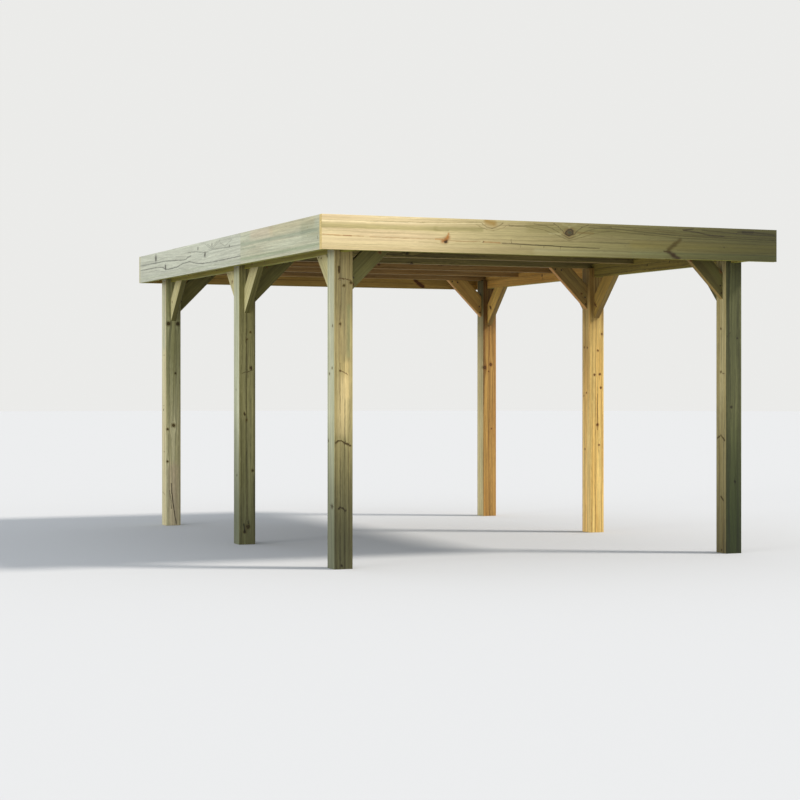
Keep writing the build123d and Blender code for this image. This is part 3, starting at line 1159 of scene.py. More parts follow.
    def left_back_log(self) -> Log:
        """How the left side's longer board was cut: wavy dark late wood and five knots."""
        outer, inner = self.face(Side.OUTER), self.face(Side.INNER)
        return Log((30.0, -190.0), (
            *outer.knots(
                (-985, 72, 23), (-660, -24, 17), (355, 76, 10.1), (560, 12, 16), (760, 81, 9.4),
                (1235, 39, 7.2)),
            *inner.knots((-300, 40, 7.9), (900, -30, 8.6)),
        ), (
            *outer.trails(
                (8, "#666A64", 0.85, (-1575, 36), (-1000, 31), (-700, 31), (-400, 19), (-100, 6), (0, 6),
                 (50, 22), (150, 26)),
                (8, "#666A64", 0.85, (-1575, -8), (-1000, -11), (-750, -19), (-660, -45), (-500, -48),
                 (-300, -44), (-100, -24), (100, -19), (300, -44), (500, -58), (900, -61), (1560, -58)),
                (7, "#7C8078", 0.7, (60, 62), (300, 52), (560, 30), (820, 40), (1100, 34), (1560, 30)),
                (6, "#868A80", 0.6, (620, 96), (760, 60), (900, 96)),
                (6, "#868A80", 0.6, (560, 100), (760, 44), (980, 102)),
                (6, "#868A80", 0.6, (980, 84), (1120, 46), (1300, 88)),
                (5, "#8A8E86", 0.5, (-1575, 62), (-1200, 56), (-940, 48), (-700, 60), (-300, 48), (0, 34)),
                (5, "#8A8E86", 0.5, (-1575, -34), (-1000, -36), (-700, -62), (-300, -66), (100, -48),
                 (500, -84)), (18, "#AEB6A4", 0.6, (-1575, -92), (1560, -88))),
        ), (outer.check((-1500, -44), (-700, -30), 1.4, 8),))

    def wild_log(self, name: str, length: float, pith: Spot) -> Log:
        """How a board was cut that the view shows little of.

        Args:
            name: its CAD node.
            length: its length.
            pith: where its pith runs.

        Returns:
            Its log.
        """
        knots = wild_knots(name, (length, self.depth, self.thickness), pith, 520.0, 7, 22.0)
        if name == "fascia_back":
            knots = knots[:3] + self.face(Side.INNER).spikes(((-915, -41), (-1000, -100), 15))
        check = Check(Side.OUTER, (-length * 0.3, -20), (length * 0.1, -34), 2.4, 12)
        return Log(pith, knots, (), (check,))

    def board(self, name: str, along: Point, log: Log, zones: int = 1) -> Board:
        """Take a board's place and size from its CAD node.

        Args:
            name: the CAD node.
            along: the direction that makes its outer face the fascia's.
            log: how it was cut.
            zones: how many zones its marks are shared out over.

        Returns:
            The board.
        """
        low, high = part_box(name)
        if name.startswith("fascia_right"):
            low = low + UP * self.right_rise * MM
        size = (high - low) / MM
        long_axis = 0 if along[0] else 1
        return Board(name, size[long_axis], size.z, size[1 - long_axis], (low + high) / 2, Vector(along), UP,
                     log, zones=zones)

    def plans(self) -> Iterator[tuple[Board, BoardFinish]]:
        """Lay out every board with its finish."""
        forward, rearward = (0, -1, 0), (0, 1, 0)
        yield (self.board("fascia_front", (1, 0, 0), self.front_log(), 6),
               BoardFinish(CREAM, UNDER_OLIVE, UNDER_BROWN, CREAM))
        yield (self.board("fascia_left_front", forward, self.left_front_log(), 2),
               BoardFinish(SAGE, UNDER_OLIVE, UNDER_BROWN, SAGE))
        yield (self.board("fascia_left_back", forward, self.left_back_log(), 3),
               BoardFinish(WAVY_SAGE, UNDER_OLIVE, UNDER_BROWN, SAGE))
        front_length, back_length = self.side_lengths
        for name, along, pith, length, pine, inner in (
                ("fascia_back", (-1, 0, 0), (-30.0, -60.0), self.back_length, BACK_PINE, BACK_BROWN),
                ("fascia_right_front", rearward, (40.0, -50.0), front_length, RIGHT_PINE, UNDER_BROWN),
                ("fascia_right_back", rearward, (-60.0, -40.0), back_length, RIGHT_PINE, UNDER_BROWN)):
            yield (self.board(name, along, self.wild_log(name, length, pith)),
                   BoardFinish(pine, UNDER_OLIVE, inner, pine))
        pith = (20.0, -60.0)
        for name, side in SIDE_SIGNS.items():
            node = f"splice_{name}"
            log = Log(pith, wild_knots(node, self.splice_size, pith, 300.0, 2))
            yield self.board(node, (0, side, 0), log), BoardFinish(UNDER_BROWN)

    def build(self) -> list[bpy.types.Object]:
        """Build every fascia board and splice.

        Returns:
            The pieces.
        """
        pieces = []
        for board, finish in self.plans():
            piece = board.build()
            finish.dress(piece, board)
            pieces.append(piece)
        return pieces


@dataclass
class Posts:
    """The six square posts with forked tops."""

    width: float = 140.0
    height: float = 2330.0
    slot_width: float = 47.6
    slot_depth: float = 80.0
    arris: float = 3.0

    def logs(self) -> dict[str, Log]:
        """How each post was cut: the pith near one face, with its whorls cut lengthwise there."""
        front, left, right, back = (Face(side, self.width, self.width)
                                    for side in (Side.OUTER, Side.UPPER, Side.LOWER, Side.INNER))
        unseen = (*back.knots((640, -20, 8.4), (-190, 25, 9.1)),
                  *right.knots((420, 15, 8.4), (-560, -20, 9.1)))
        return {
            "front_left": Log((24, 58), (
                *front.spikes(((938, 34), (974, 34), 7.2)),
                *front.knots((845, -3, 8.4), (868, -56, 9.1), (575, 26, 7), (243, 26, 6.3)),
                *front.spikes(
                    ((-250, 33), (-290, -51), 5.5), ((-250, 33), (-265, 57), 5.5),
                    ((-720, 22), (-750, -14), 5), ((-720, 22), (-738, 36), 5)),
                *front.knots((-1141, 13, 7)),
                *left.knots(
                    (562, 32, 8.4), (262, 27, 8.4), (222, -26, 8.4), (-255, -49, 8.4), (-720, 24, 13.6)),
                *unseen,
            ), (
                *front.trails(
                    (6, DARK_LINE, 0.8, (1120, 26), (880, 26)), (4, "#7A6536", 0.6, (880, 26), (700, 26)),
                    (6, "#5E4A26", 0.75, (700, 26), (550, 26)), (4, "#7A6536", 0.6, (550, 26), (300, 26)),
                    (6, "#5E4A26", 0.75, (300, 26), (-60, 26)), (4, "#6A5A30", 0.6, (-60, 26), (-1165, 24)),
                    # painted shade over the top of the front face
                    (110, "#A2966C", 0.7, (1165, 0), (380, 0)),
                    (7, "#5A3A1E", 0.85, (893, 38), (897, 0), (884, -59)),
                    (7, "#5A3A1E", 0.8, (240, 22), (232, 0), (218, -29)),
                    (28, "#97A274", 0.45, (700, -40), (350, -40)),
                    # painted sunlight: a pale, warm patch halfway up the front face
                    (40, "#D8C288", 0.5, (290, -20), (60, -30)),
                    (70, "#E6D29C", 0.55, (170, 0), (-190, 10))),
                *left.trails(
                    (8, GREY_BLUE, 0.55, (1160, 20), (300, 26)),
                    (5, "#5C5A42", 0.65, (-255, -49), (-700, -49)),
                    (6, "#4E4A36", 0.6, (-712, -20), (-722, 60))),
            ), (front.check((930, 25), (1090, 27), 3, 12), front.check((-1100, -8), (-640, -2), 2, 10),
                left.check((500, 24), (1060, 18), 2, 9))),
            "middle_left": Log((-30, 56), (
                *front.knots(
                    (570, -27, 7), (510, 2, 6.3), (275, -32, 8.4), (-100, 22, 7), (-145, 5, 6.3),
                    (-560, -46, 8.4), (-1020, -7, 13.6), (-1060, 22, 9.8)),
                *left.knots((100, -10, 7), (-600, 14, 8.4)),
                *unseen,
            ), (
                *front.trails(
                    (6, "#4A3620", 0.75, (262, -52), (246, -10), (234, 44)),
                    (9, "#3A2410", 0.85, (288, -36), (262, -34)),
                    (11, "#1C180C", 0.9, (-1000, 29), (-1068, 19)),
                    (9, "#1C180C", 0.85, (-974, -8), (-996, -10)),
                    (8, "#2E2412", 0.85, (-86, 24), (-112, 22)),
                    (6, "#5E5230", 0.6, (560, 10), (200, -6)), (6, "#4C4426", 0.6, (-380, 4), (-960, -2)),
                    (9, "#6E6A3C", 0.5, (300, 52), (-700, 48))),
                *left.trails((9, GREY_BLUE, 0.4, (1150, 10), (-1100, -6))),
            ), (front.check((-700, 12), (300, 4), 2.2, 12),)),
            "back_left": Log((10, 55), (
                *front.knots(
                    (700, 47, 15.3), (700, -41, 14.4), (240, -20, 8.4), (-240, -1, 14.4), (-275, 55, 8.4),
                    (-575, 55, 8.4)),
                *left.knots((-95, -15, 8.4)),
                *unseen,
            ), (
                *front.trails(
                    (9, "#2E2414", 0.9, (-780, 18), (-870, 15), (-1040, -9), (-1150, -28)),
                    (95, "#CDB69E", 0.5, (-640, 0), (-1165, -10)),
                    (6, "#3A2E1A", 0.8, (-840, 36), (-930, 22), (-1010, 18)),
                    (7, "#7A7250", 0.55, (640, -20), (300, -6), (-200, 2))),
                *left.trails(
                    (90, GREY_BLUE, 0.5, (1165, 0), (500, 0)), (7, "#6E6448", 0.6, (410, -20), (410, 30)),
                    (7, "#6E6448", 0.6, (-58, -30), (-58, 10)), (7, "#6E6448", 0.6, (-485, -10), (-485, 40)),
                    (8, "#6E6448", 0.6, (-860, -40), (-880, 30))),
            ), (front.check((-1120, -20), (-779, 23), 3.5, 16),)),
            "front_right": Log((58, 4), (
                *left.knots((575, -3, 7), (240, -3, 7)),
                *left.spikes(
                    ((-250, -2), (-275, -50), 5.5), ((-250, -2), (-290, 51), 5.5),
                    ((-725, -5), (-755, 30), 5.5)),
                *left.knots((-1141, 7, 7)),
                *front.knots((-30, 23, 8.4), (500, -32, 6.3), (-610, -11, 7)),
                *unseen,
            ), (
                *left.trails((7, "#4E3A20", 0.8, (238, 0), (225, 46))),
                *front.trails(
                    (7, "#33301C", 0.8, (545, 30), (530, 47), (512, 60)),
                    (5, "#3E3C24", 0.6, (260, -10), (120, -22), (0, -12))),
            ), (front.check((560, 18), (900, 22), 2, 10), front.check((-900, -18), (-300, -8), 2, 10))),
            "middle_right": Log((-20, 50), (
                *front.knots(
                    (585, -51, 7), (440, -11, 7), (225, 23, 8.4), (230, -30, 8.4), (112, -40, 7),
                    (-215, -6, 9.1), (-395, -22, 7)),
                *left.knots((470, -31, 7), (465, 25, 7), (65, 9, 7), (40, -39, 6.3), (-430, -18, 7)),
                *unseen,
            ), (
                *front.trails((7, "#6E4420", 0.75, (60, -6), (-260, -6))),
            ), (front.check((-600, -14), (150, -6), 2.2, 12),)),
            "back_right": Log((40, 52), (
                *front.knots((305, 55, 15.3), (335, -12, 13.6), (265, 13, 5.6), (-300, -20, 7)),
                *unseen,
            ), (), (front.check((350, 10), (900, 2), 2, 10),)),
        }

    def build(self) -> list[bpy.types.Object]:
        """Build the six posts.

        Returns:
            The pieces.
        """
        # Each post face takes a lit or shaded copy of the pine: the orange faces carry painted sunlight and
        # bounce light, the olive ones painted shade, and the grey-green ones painted skylight.
        finishes = {"front_left": BoardFinish(OLIVE, OLIVE, OLIVE, POST_SAGE),
                    "middle_left": BoardFinish(DARK_OLIVE, DARK_OLIVE, OLIVE, POST_SAGE),
                    "back_left": BoardFinish(TAN, TAN, TAN, PALE_SAGE),
                    "front_right": BoardFinish(DIM_OLIVE, OLIVE, OLIVE, WARM_TAN),
                    "middle_right": BoardFinish(ORANGE, AMBER, ORANGE, DEEP_ORANGE),
                    "back_right": BoardFinish(AMBER, AMBER, ORANGE, BACK_POST_TAN)}
        slot = Notch((self.height / 2, 0, 0), (2 * self.slot_depth, self.slot_width, 2 * self.width))
        pieces = []
        for place, log in self.logs().items():
            node = f"post_{place}"
            low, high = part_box(node)
            board = Board(node, self.height, self.width, self.width, (low + high) / 2, UP,
                          Vector((-1, 0, 0)), log, arris=self.arris, notches=[slot], zones=3)
            piece = board.build()
            finishes[place].dress(piece, board)
            pieces.append(piece)
        return pieces


@dataclass
class Headers:
    """The boards that stand in the posts' forks, two to a side."""

    def build(self) -> list[bpy.types.Object]:
        """Build the four headers.

        Returns:
            The pieces.
        """
        # The inner face of header_right_2 carries painted light: a bright orange copy of the pine.
        inner = {"header_right_1": UNDER_GREEN, "header_right_2": HEADER_PAINTED_LIGHT}
        pieces = []
        for name, side in SIDE_SIGNS.items():
            for number, pith in ((1, (-20.0, -70.0)), (2, (-20.0, 60.0))):
                node = f"header_{name}_{number}"
                low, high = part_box(node)
                size = (high - low) / MM
                knots = wild_knots(node, (size.y, size.z, size.x), pith, 420.0, 5)
                log = Log(pith, knots, (), (Check(Side.INNER, (-500, 12), (300, 20), 2.0, 9),))
                board = Board(node, size.y, size.z, size.x, (low + high) / 2, Vector((0, side, 0)), UP, log)
                piece = board.build()
                outer = HEADER_OUTER if side < 0 else RIGHT_PINE
                BoardFinish(outer, UNDER_OLIVE, inner.get(node, UNDER_BROWN), UNDER_OLIVE).dress(piece, board)
                pieces.append(piece)
        return pieces


@dataclass
class Rafters:
    """The cross rafters, notched over the headers."""

    notch_width: float = 47.6
    notch_depth: float = 45.0
    shade_end: float = 200.0  # how far back the deeper shade under the front of the roof reaches

    def log(self, node: str, size: Point) -> Log:
        """How a rafter was cut, seeded by its name.

        Args:
            node: its CAD node.
            size: its length, depth and thickness.

        Returns:
            Its log.
        """
        rng = random.Random(node)
        pith = (rng.uniform(-60, 60), rng.choice((-70.0, -45.0, 55.0)))
        knots = wild_knots(node, size, pith, 480.0, 7, 17.0)
        check = Check(Side.OUTER, (rng.uniform(-1300, -900), 8), (rng.uniform(-300, 400), 20), 2.2, 10)
        under = Check(Side.LOWER, (rng.uniform(-900, 0), 2), (rng.uniform(200, 1100), -3), 1.8, 9)
        return Log(pith, knots, (), (check, under))

    def build(self) -> list[bpy.types.Object]:
        """Build the rafters, the front ones in deeper shade.

        Returns:
            The pieces.
        """
        header_low, header_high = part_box("header_right_1")
        header_x = (header_low.x + header_high.x) / 2 / MM
        pieces = []
        for node in nodes("rafter_"):
            low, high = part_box(node)
            size = (high - low) / MM
            notch = (self.notch_width, 2 * self.notch_depth, 4 * size.y)
            notches = [Notch((side * header_x, -size.z / 2, 0), notch) for side in (-1, 1)]
            board = Board(node, size.x, size.z, size.y, (low + high) / 2, Vector((1, 0, 0)), UP,
                          self.log(node, (size.x, size.z, size.y)), notches=notches)
            piece = board.build()
            # the rafters of the front half take a darker copy of the pine: painted deeper shade
            pine = RAFTER_PAINTED_SHADE if low.y < self.shade_end * MM else UNDER_BROWN
            BoardFinish(pine, UNDER_EDGE).dress(piece, board)
            pieces.append(piece)
        return pieces


@dataclass
class Braces:
    """The corner braces, cut at both ends to stand at 45 degrees."""

    depth: float = 145.0
    reach: float = 360.0
    thickness: float = 47.0
    screws: tuple[Spot, ...] = ((166.0, -14.0), (213.0, -50.0))

    def board(self, node: str, inward: Vector) -> Board:
        """Lay out one brace.

        Args:
            node: its CAD node.
            inward: the level direction from its post.

        Returns:
            The board, whose lower edge is its own lower side.
        """
        low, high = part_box(node)
        along = (inward + UP).normalized()
        across = (UP - inward).normalized()
        middle_length = self.reach * math.sqrt(2) - self.depth
        drop = self.depth / 2 / math.sqrt(2) * MM
        middle = (low + high) / 2 + (UP - inward) * drop
        rng = random.Random(node)
        pith = (rng.uniform(-70, 70), rng.choice((-60.0, 50.0)))
        size = (2 * self.reach / math.sqrt(2), self.depth, self.thickness)
        side = Side.OUTER if along.cross(across).y < -0.5 else Side.INNER
        face = Face(side, self.depth, self.thickness)
        pockets = [Pocket(face, (way * x, y)) for way in (-1, 1) for x, y in self.screws]
        return Board(node, middle_length, self.depth, self.thickness, middle, along, across,
                     Log(pith, wild_knots(node, size, pith, 260.0, 2)), slants=(1.0, -1.0), pockets=pockets,
                     station_gap=90.0)

    def boards(self) -> Iterator[Board]:
        """Lay out every brace."""
        for side_name, side in SIDE_SIGNS.items():
            for line in POST_LINES:
                place = f"{line}_{side_name}"
                yield self.board(f"cross_brace_{place}", Vector((-side, 0, 0)))
                for way_name, way in (("forward", -1), ("rearward", 1)):
                    node = f"side_brace_{place}_{way_name}"
                    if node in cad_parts:
                        yield self.board(node, Vector((0, way, 0)))

    def finish(self, node: str) -> BoardFinish:
        """Choose a brace's wood, face by face, from what the daylight shows of it.

        Args:
            node: its CAD node.

        Returns:
            Its finish.
        """
        along_side = node.startswith("side")
        if "left" in node:
            pines = (BRACE_SAGE, BRACE_OLIVE) if along_side else (BRACE_OLIVE, BRACE_SAGE)
            return BoardFinish(*pines)
        if "front" in node:
            return BoardFinish(BRACE_DARK, BRACE_BROWN)
        tan, brown = (BACK_BRACE_TAN, BACK_BRACE_BROWN) if "back" in node else (BRACE_TAN, BRACE_BROWN)
        return BoardFinish(tan, BRACE_BROWN) if along_side else BoardFinish(brown, BRACE_EDGE)

    def build(self) -> list[tuple[bpy.types.Object, Board]]:
        """Build the braces.

        Returns:
            Each piece with its board.
        """
        made = []
        for board in self.boards():
            piece = board.build()
            self.finish(board.node).dress(piece, board)
            made.append((piece, board))
        return made


@dataclass(frozen=True)
class CoatedSteel:
    """Roll-formed steel sheet with a polyester coat.

    The coat is an even grey with a soft sheen. Dust lies in the valleys, and rain has
    drawn it out towards the sheets' ends.
    """

    coat: str = "#5A6164"
    dust: str = "#8C8B80"
    streak: Point = (0.03, 0.9, 0.03)  # in metres: across, along and up

    def dress(self, piece: bpy.types.Object) -> None:
        """Give a sheet its coat."""
        material, tree = new_material(f"coated_steel_{piece.name}")
        place = add(tree, "NewGeometry", {}, 0)
        low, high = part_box(piece.name)
        scale = tuple(1 / size for size in self.streak)
        runs = add(tree, "VectorMath", (place, scale), operation="MULTIPLY")
        streak = add(tree, "TexNoise", {"Vector": runs, "Scale": 1, "Detail": 3})
        where = add(tree, "SeparateXYZ", (place,), 2)
        valley = add(tree, "MapRange", (where, low.z, high.z, 0.75, 0.1))
        share = add(tree, "Math", (streak, valley), operation="MULTIPLY")
        colour = add(tree, "Mix", {0: share, 6: self.coat, 7: self.dust}, 2, data_type="RGBA")
        rough = add(tree, "MapRange", (share, 0, 1, 0.38, 0.8))
        peel = add(tree, "TexNoise", {"Vector": place, "Scale": 900, "Detail": 1})
        normal = add(tree, "Bump", {"Strength": 0.3, "Distance": 0.0001, "Height": peel})
        shader = add(tree, "BsdfPrincipled",
                     {"Base Color": colour, "Roughness": rough, "IOR": 1.5, "Normal": normal})
        add(tree, "OutputMaterial", {"Surface": shader})
        piece.data.materials.clear()
        piece.data.materials.append(material)


@dataclass(frozen=True)
class ZincPlatedSteel:
    """Cold-headed steel with a dull zinc plating: cool grey, a little uneven, with soft gloss."""

    name: str = "zinc_plated_steel"
    bright: str = "#B4B5AF"
    dull: str = "#7E7D74"

    def make(self) -> bpy.types.Material:
        """Make the material."""
        material, tree = new_material(self.name)
        place = add(tree, "NewGeometry", {}, 0)
        bloom = add(tree, "TexNoise", {"Vector": place, "Scale": 220, "Detail": 2})
        colour = add(tree, "Mix", {0: bloom, 6: self.bright, 7: self.dull}, 2, data_type="RGBA")
        rough = add(tree, "MapRange", (bloom, 0, 1, 0.35, 0.6))
        shader = add(tree, "BsdfPrincipled", {"Base Color": colour, "Metallic": 1, "Roughness": rough})
        add(tree, "OutputMaterial", {"Surface": shader})
        return material


@dataclass
class Fixings:
    """Screws and bolts, each kind as one joined mesh. Outlines are (radius, height) points."""

    round_steps: int = 24
    sharp_angle: float = 35.0
    pocket_gap: float = 1.0
    fascia_head: float = 4.6
    fascia_heights: Spot = (0.25, 0.75)  # in shares of a rafter's depth
    back_heights: tuple[tuple[float, ...], ...] = ((0.16, 0.5, 0.84), (0.14, 0.38))  # of the fascia's depth
    bolt_dome: Outline = ((11.0, 0.0), (11.0, 1.0), (9.6, 3.2), (6.6, 5.0), (3.0, 5.8), (0.6, 6.0))
    bolt_places: tuple[Spot, ...] = ((-0.034, 0.058), (0.034, 0.024))  # in metres, along Y and down
    hex_head: Outline = ((8.0, 0.0), (8.0, 2.2), (6.8, 2.6), (6.4, 3.4), (4.6, 3.5), (4.6, 7.6), (3.9, 8.2),
                         (0.5, 8.3))
    rib_spaces: int = 16
    half_rib: float = 0.033
    sheet_thickness: float = 0.0007

    def turn(self, body: bmesh.types.BMesh, place: Matrix, outline: Outline,
             lobes: Mapping[int, tuple[int, float]] | None = None) -> None:
        """Turn an outline about its axis.

        Args:
            body: the mesh that it is added to.
            place: the axis frame, in mm, as a matrix to the row frame in metres.
            outline: its points from the foot to the top.
            lobes: for some of the points, how many lobes or corners the ring has and how deep they are.
        """
        rings = []
        for number, (radius, height) in enumerate(outline):
            count, depth = (lobes or {}).get(number, (0, 0.0))
            ring = []
            for step in range(self.round_steps):
                angle = 2 * math.pi * step / self.round_steps
                reach = radius * (1 - depth * (0.5 - 0.5 * math.cos(count * angle)))
                ring.append(body.verts.new(place @ Vector((reach * math.cos(angle), reach * math.sin(angle),
                                                           height))))
            rings.append(ring)
        for lower, upper in zip(rings, rings[1:]):
            for n in range(self.round_steps):
                following = (n + 1) % self.round_steps
                body.faces.new((lower[n], lower[following], upper[following], upper[n]))
        body.faces.new(reversed(rings[0]))
        body.faces.new(rings[-1])

    def facing(self, place: Vector, outward: Vector) -> Matrix:
        """A frame in mm at a place, with its Z axis outward."""
        turn = outward.to_track_quat("Z", "Y").to_matrix().to_4x4()
        return Matrix.Translation(place) @ turn @ Matrix.Scale(MM, 4)

    def finish(self, name: str, body: bmesh.types.BMesh, material: bpy.types.Material) -> bpy.types.Object:
        """Turn a mesh of fixings into a piece that rides on the frame.

        Args:
            name: the piece's name.
            body: its mesh.
            material: its finish.

        Returns:
            The piece.
        """
        mesh = bpy.data.meshes.new(name)
        body.to_mesh(mesh)
        body.free()
        mesh.polygons.foreach_set("use_smooth", [True] * len(mesh.polygons))
        mesh.set_sharp_from_angle(angle=math.radians(self.sharp_angle))
        mesh.materials.append(material)
        piece = new_object(name, mesh)
        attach(piece, "root")
        return piece

    def countersunk(self, body: bmesh.types.BMesh, place: Matrix, radius: float) -> None:
        """Add a countersunk screw head with a six-lobed socket, its top at the frame's origin."""
        outline = [(radius * 0.45, -radius * 0.7), (radius, -radius * 0.14), (radius, 0.0),
                   (radius * 0.52, 0.05), (radius * 0.5, -1.6), (radius * 0.1, -2.0)]
        self.turn(body, place, outline, {3: (6, 0.22), 4: (6, 0.22)})

    def brace_screws(self, boards: Sequence[Board], material: bpy.types.Material) -> bpy.types.Object:
        """Put a screw head in each brace's pockets.

        Args:
            boards: the braces.
            material: the screws' finish.

        Returns:
            The piece.
        """
        body = bmesh.new()
        for board in boards:
            for pocket in board.pockets:
                spot = board.frame() @ (pocket.mouth - pocket.outward * (pocket.depth / 2))
                turned = board.frame().to_3x3() @ pocket.outward
                self.countersunk(body, self.facing(spot, turned), pocket.radius - self.pocket_gap)
        return self.finish("brace_screws", body, material)

    def fascia_screws(self, material: bpy.types.Material) -> bpy.types.Object:
        """Put screw heads through the side boards into each rafter, and through the back board's ends.

        Args:
            material: the screws' finish.

        Returns:
            The piece.
        """
        body = bmesh.new()
        low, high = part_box("fascia_front")
        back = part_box("fascia_back")[1].y
        header_low, header_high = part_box("header_right_1")
        for rafter_low, rafter_high in map(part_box, nodes("rafter_")):
            for side in (-1, 1):
                for share in self.fascia_heights:
                    height = rafter_low.z + (rafter_high.z - rafter_low.z) * share
                    spot = Vector((side * high.x, (rafter_low.y + rafter_high.y) / 2, height))
                    self.countersunk(body, self.facing(spot, Vector((side, 0, 0))), self.fascia_head)
        columns = (high.x - (high.y - low.y) / 2, (header_low.x + header_high.x) / 2)
        for side in (-1, 1):
            for x, shares in zip(columns, self.back_heights):
                for share in shares:
                    spot = Vector((side * x, back, low.z + (high.z - low.z) * share))
                    self.countersunk(body, self.facing(spot, Vector((0, 1, 0))), self.fascia_head)
        return self.finish("fascia_screws", body, material)

    def post_bolts(self, material: bpy.types.Material) -> bpy.types.Object:
        """Put two domed coach bolts into each fork from outside, where the side boards cover them.

        Args:
            material: the bolts' finish.

        Returns:
            The piece.
        """
        body = bmesh.new()
        for name, side in SIDE_SIGNS.items():
            for line in POST_LINES:
                low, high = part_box(f"post_{line}_{name}")
                for offset, drop in self.bolt_places:
                    y, z = (low.y + high.y) / 2 + offset, high.z - drop
                    outer = low.x if side < 0 else high.x
                    self.turn(body, self.facing(Vector((outer, y, z)), Vector((side, 0, 0))), self.bolt_dome)
        return self.finish("post_bolts", body, material)

    def roof_screws(self, material: bpy.types.Material) -> bpy.types.Object:
        """Put a flanged hex screw with its washer in every second valley over each rafter.

        Args:
            material: the screws' finish.

        Returns:
            The piece.
        """
        corners = {4: (6, 0.13), 5: (6, 0.13)}
        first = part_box("roof_sheet_1")[0].x
        spacing = (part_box("roof_sheet_4")[1].x - first - 2 * self.half_rib) / self.rib_spaces
        body = bmesh.new()
        for low, high in map(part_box, nodes("rafter_")):
            for number in range(0, self.rib_spaces, 2):
                x = first + self.half_rib + spacing * (number + 0.5)
                spot = Vector((x, (low.y + high.y) / 2, high.z + self.sheet_thickness))
                self.turn(body, self.facing(spot, UP), self.hex_head, corners)
        return self.finish("roof_screws", body, material)

    def build(self, braces: Sequence[Board]) -> list[bpy.types.Object]:
        """Build every kind of fixing.

        Args:
            braces: the braces, whose pockets take screws.

        Returns:
            The pieces.
        """
        zinc = ZincPlatedSteel().make()
        dull = ZincPlatedSteel("weathered_zinc_screws", "#5C5444", "#3E3930").make()
        yellow = ZincPlatedSteel("yellow_passivated_screws", "#A8996A", "#857548").make()
        return [self.brace_screws(braces, dull), self.fascia_screws(yellow), self.post_bolts(zinc),
                self.roof_screws(zinc)]


@dataclass
class RoofSheets:
    """The ribbed roof sheets, which keep their CAD shape."""

    finish: CoatedSteel = field(default_factory=CoatedSteel)

    def dress(self) -> list[bpy.types.Object]:
        """Give each sheet its coat.

        Returns:
            The sheets.
        """
        sheets = [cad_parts[name] for name in nodes("roof_sheet_")]
        for sheet in sheets:
            self.finish.dress(sheet)
        return sheets


@dataclass(frozen=True)
class Lamp:
    """A soft, distant lamp.

    toward is the direction in which it stands, power is in watts a square metre, and
    softness_deg is how wide it looks from the object.
    """

    name: str
    toward: Point
    power: float
    softness_deg: float
    tint: str

    def build(self) -> None:
        """Hang the lamp."""
        data = bpy.data.lights.new(self.name, "SUN")
        data.energy = self.power
        data.angle = math.radians(self.softness_deg)
        data.color = linear(self.tint)[:3]
        sun = bpy.data.objects.new(self.name, data)
        sun.rotation_euler = Vector(self.toward).to_track_quat("Z", "Y").to_euler()
        bpy.context.scene.collection.objects.link(sun)


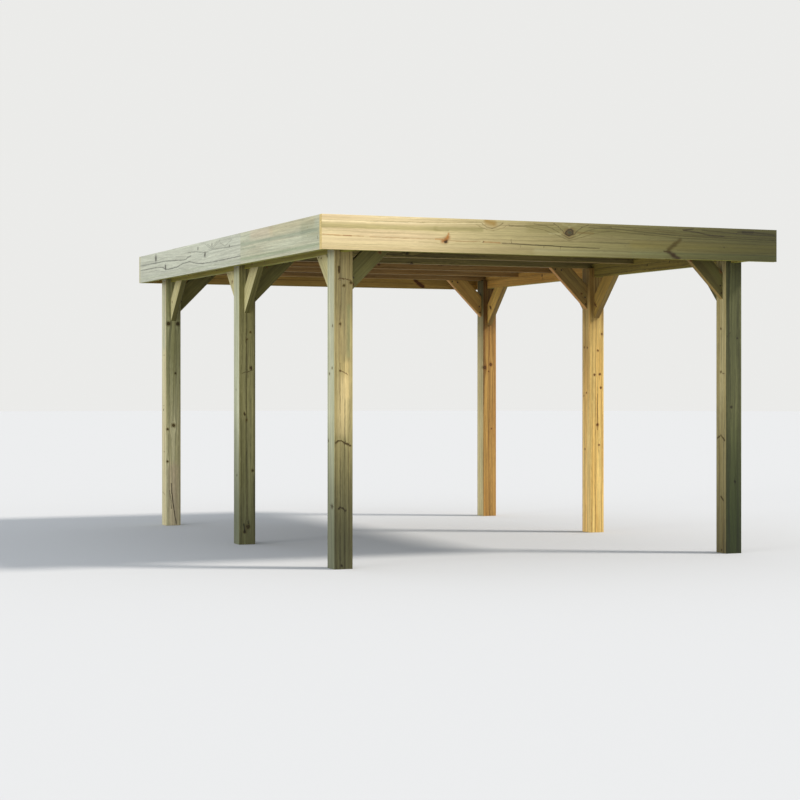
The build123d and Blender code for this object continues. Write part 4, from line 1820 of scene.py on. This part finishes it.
@dataclass
class Studio:
    """A pale floor, soft light and the camera of the photograph."""

    camera_place: Point = (-6.3879, -14.8208, 1.3329)
    camera_turn_deg: float = 22.505
    focal_px: float = 1895.255
    horizon_px: float = 381.282
    frame_px: float = 800.0
    sensor_mm: float = 36.0
    clip_end: float = 400.0
    floor_radius: float = 70.0
    pale: str = "#BDC1C6"
    bounce: str = "#A29E92"
    sky: tuple[str, float] = ("#F2F4F6", 0.95)  # the light all round: its colour and strength
    backdrop: tuple[str, float] = ("#F4F4F2", 0.92)  # what the camera sees of it
    lamps: tuple[Lamp, ...] = (
        Lamp("key", toward=(0.75, -0.40, 0.85), power=3.4, softness_deg=9.0, tint="#FFF4E6"),
        Lamp("fill", toward=(-0.92, -0.30, 0.11), power=1.35, softness_deg=26.0, tint="#FFFAF0"))

    def build_camera(self) -> None:
        """Stand the camera where the photograph's was."""
        data = bpy.data.cameras.new("camera")
        data.sensor_width = self.sensor_mm
        data.lens = self.focal_px / self.frame_px * self.sensor_mm
        data.shift_y = (self.horizon_px - self.frame_px / 2) / self.frame_px
        data.clip_end = self.clip_end
        camera = bpy.data.objects.new("camera", data)
        camera.location = self.camera_place
        camera.rotation_euler = (math.pi / 2, 0.0, -math.radians(self.camera_turn_deg))
        bpy.context.scene.collection.objects.link(camera)
        bpy.context.scene.camera = camera

    def build_floor(self) -> None:
        """Lay a wide round floor that is pale to the eye and sends little light back up."""
        body = bmesh.new()
        bmesh.ops.create_circle(body, cap_ends=True, segments=96, radius=self.floor_radius)
        mesh = bpy.data.meshes.new("floor")
        body.to_mesh(mesh)
        body.free()
        floor = new_object("floor", mesh)
        material, tree = new_material("matt_floor")
        seen = self.seen_ray(tree)
        colour = add(tree, "Mix", {0: seen, 6: self.bounce, 7: self.pale}, 2, data_type="RGBA")
        shader = add(tree, "BsdfDiffuse", {"Color": colour})
        add(tree, "OutputMaterial", {"Surface": shader})
        mesh.materials.append(material)
        floor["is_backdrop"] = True

    def seen_ray(self, tree: Tree) -> Socket:
        """1 for rays that the camera sees, directly, in gloss or through glass."""
        rays = tree.nodes.new("ShaderNodeLightPath").outputs
        direct = add(tree, "Math", (rays["Is Camera Ray"], rays["Is Glossy Ray"]), operation="MAXIMUM")
        return add(tree, "Math", (direct, rays["Is Transmission Ray"]), operation="MAXIMUM")

    def build_world(self) -> None:
        """Light the scene evenly all round, with a pale background."""
        world = bpy.data.worlds.new("world")
        bpy.context.scene.world = world
        world.use_nodes = True
        tree = world.node_tree
        tree.nodes.clear()
        light, backdrop = (add(tree, "Background", glow) for glow in (self.sky, self.backdrop))
        surface = add(tree, "MixShader", (self.seen_ray(tree), light, backdrop))
        add(tree, "OutputWorld", {"Surface": surface})

    def build(self) -> None:
        """Set up the whole studio."""
        self.build_camera()
        self.build_floor()
        self.build_world()
        for lamp in self.lamps:
            lamp.build()
        bpy.context.scene.view_settings.view_transform = "Standard"


def main() -> None:
    """Build the carport and its studio."""
    logging.basicConfig(level=logging.INFO, format="%(name)s: %(message)s")
    Studio().build()
    pieces = Fascia().build() + Posts().build() + Headers().build() + Rafters().build()
    braces = Braces().build()
    pieces += [piece for piece, _ in braces]
    pieces += RoofSheets().dress()
    pieces += Fixings().build([board for _, board in braces])
    for piece in pieces:
        LOG.info("%s: %d faces", piece.name, len(piece.data.polygons))
    boxes = {"cad": CAD_BOX, "visual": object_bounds()}
    {name: [list(corner) for corner in box] for name, box in boxes.items()}


if __name__ == "__main__":
    main()
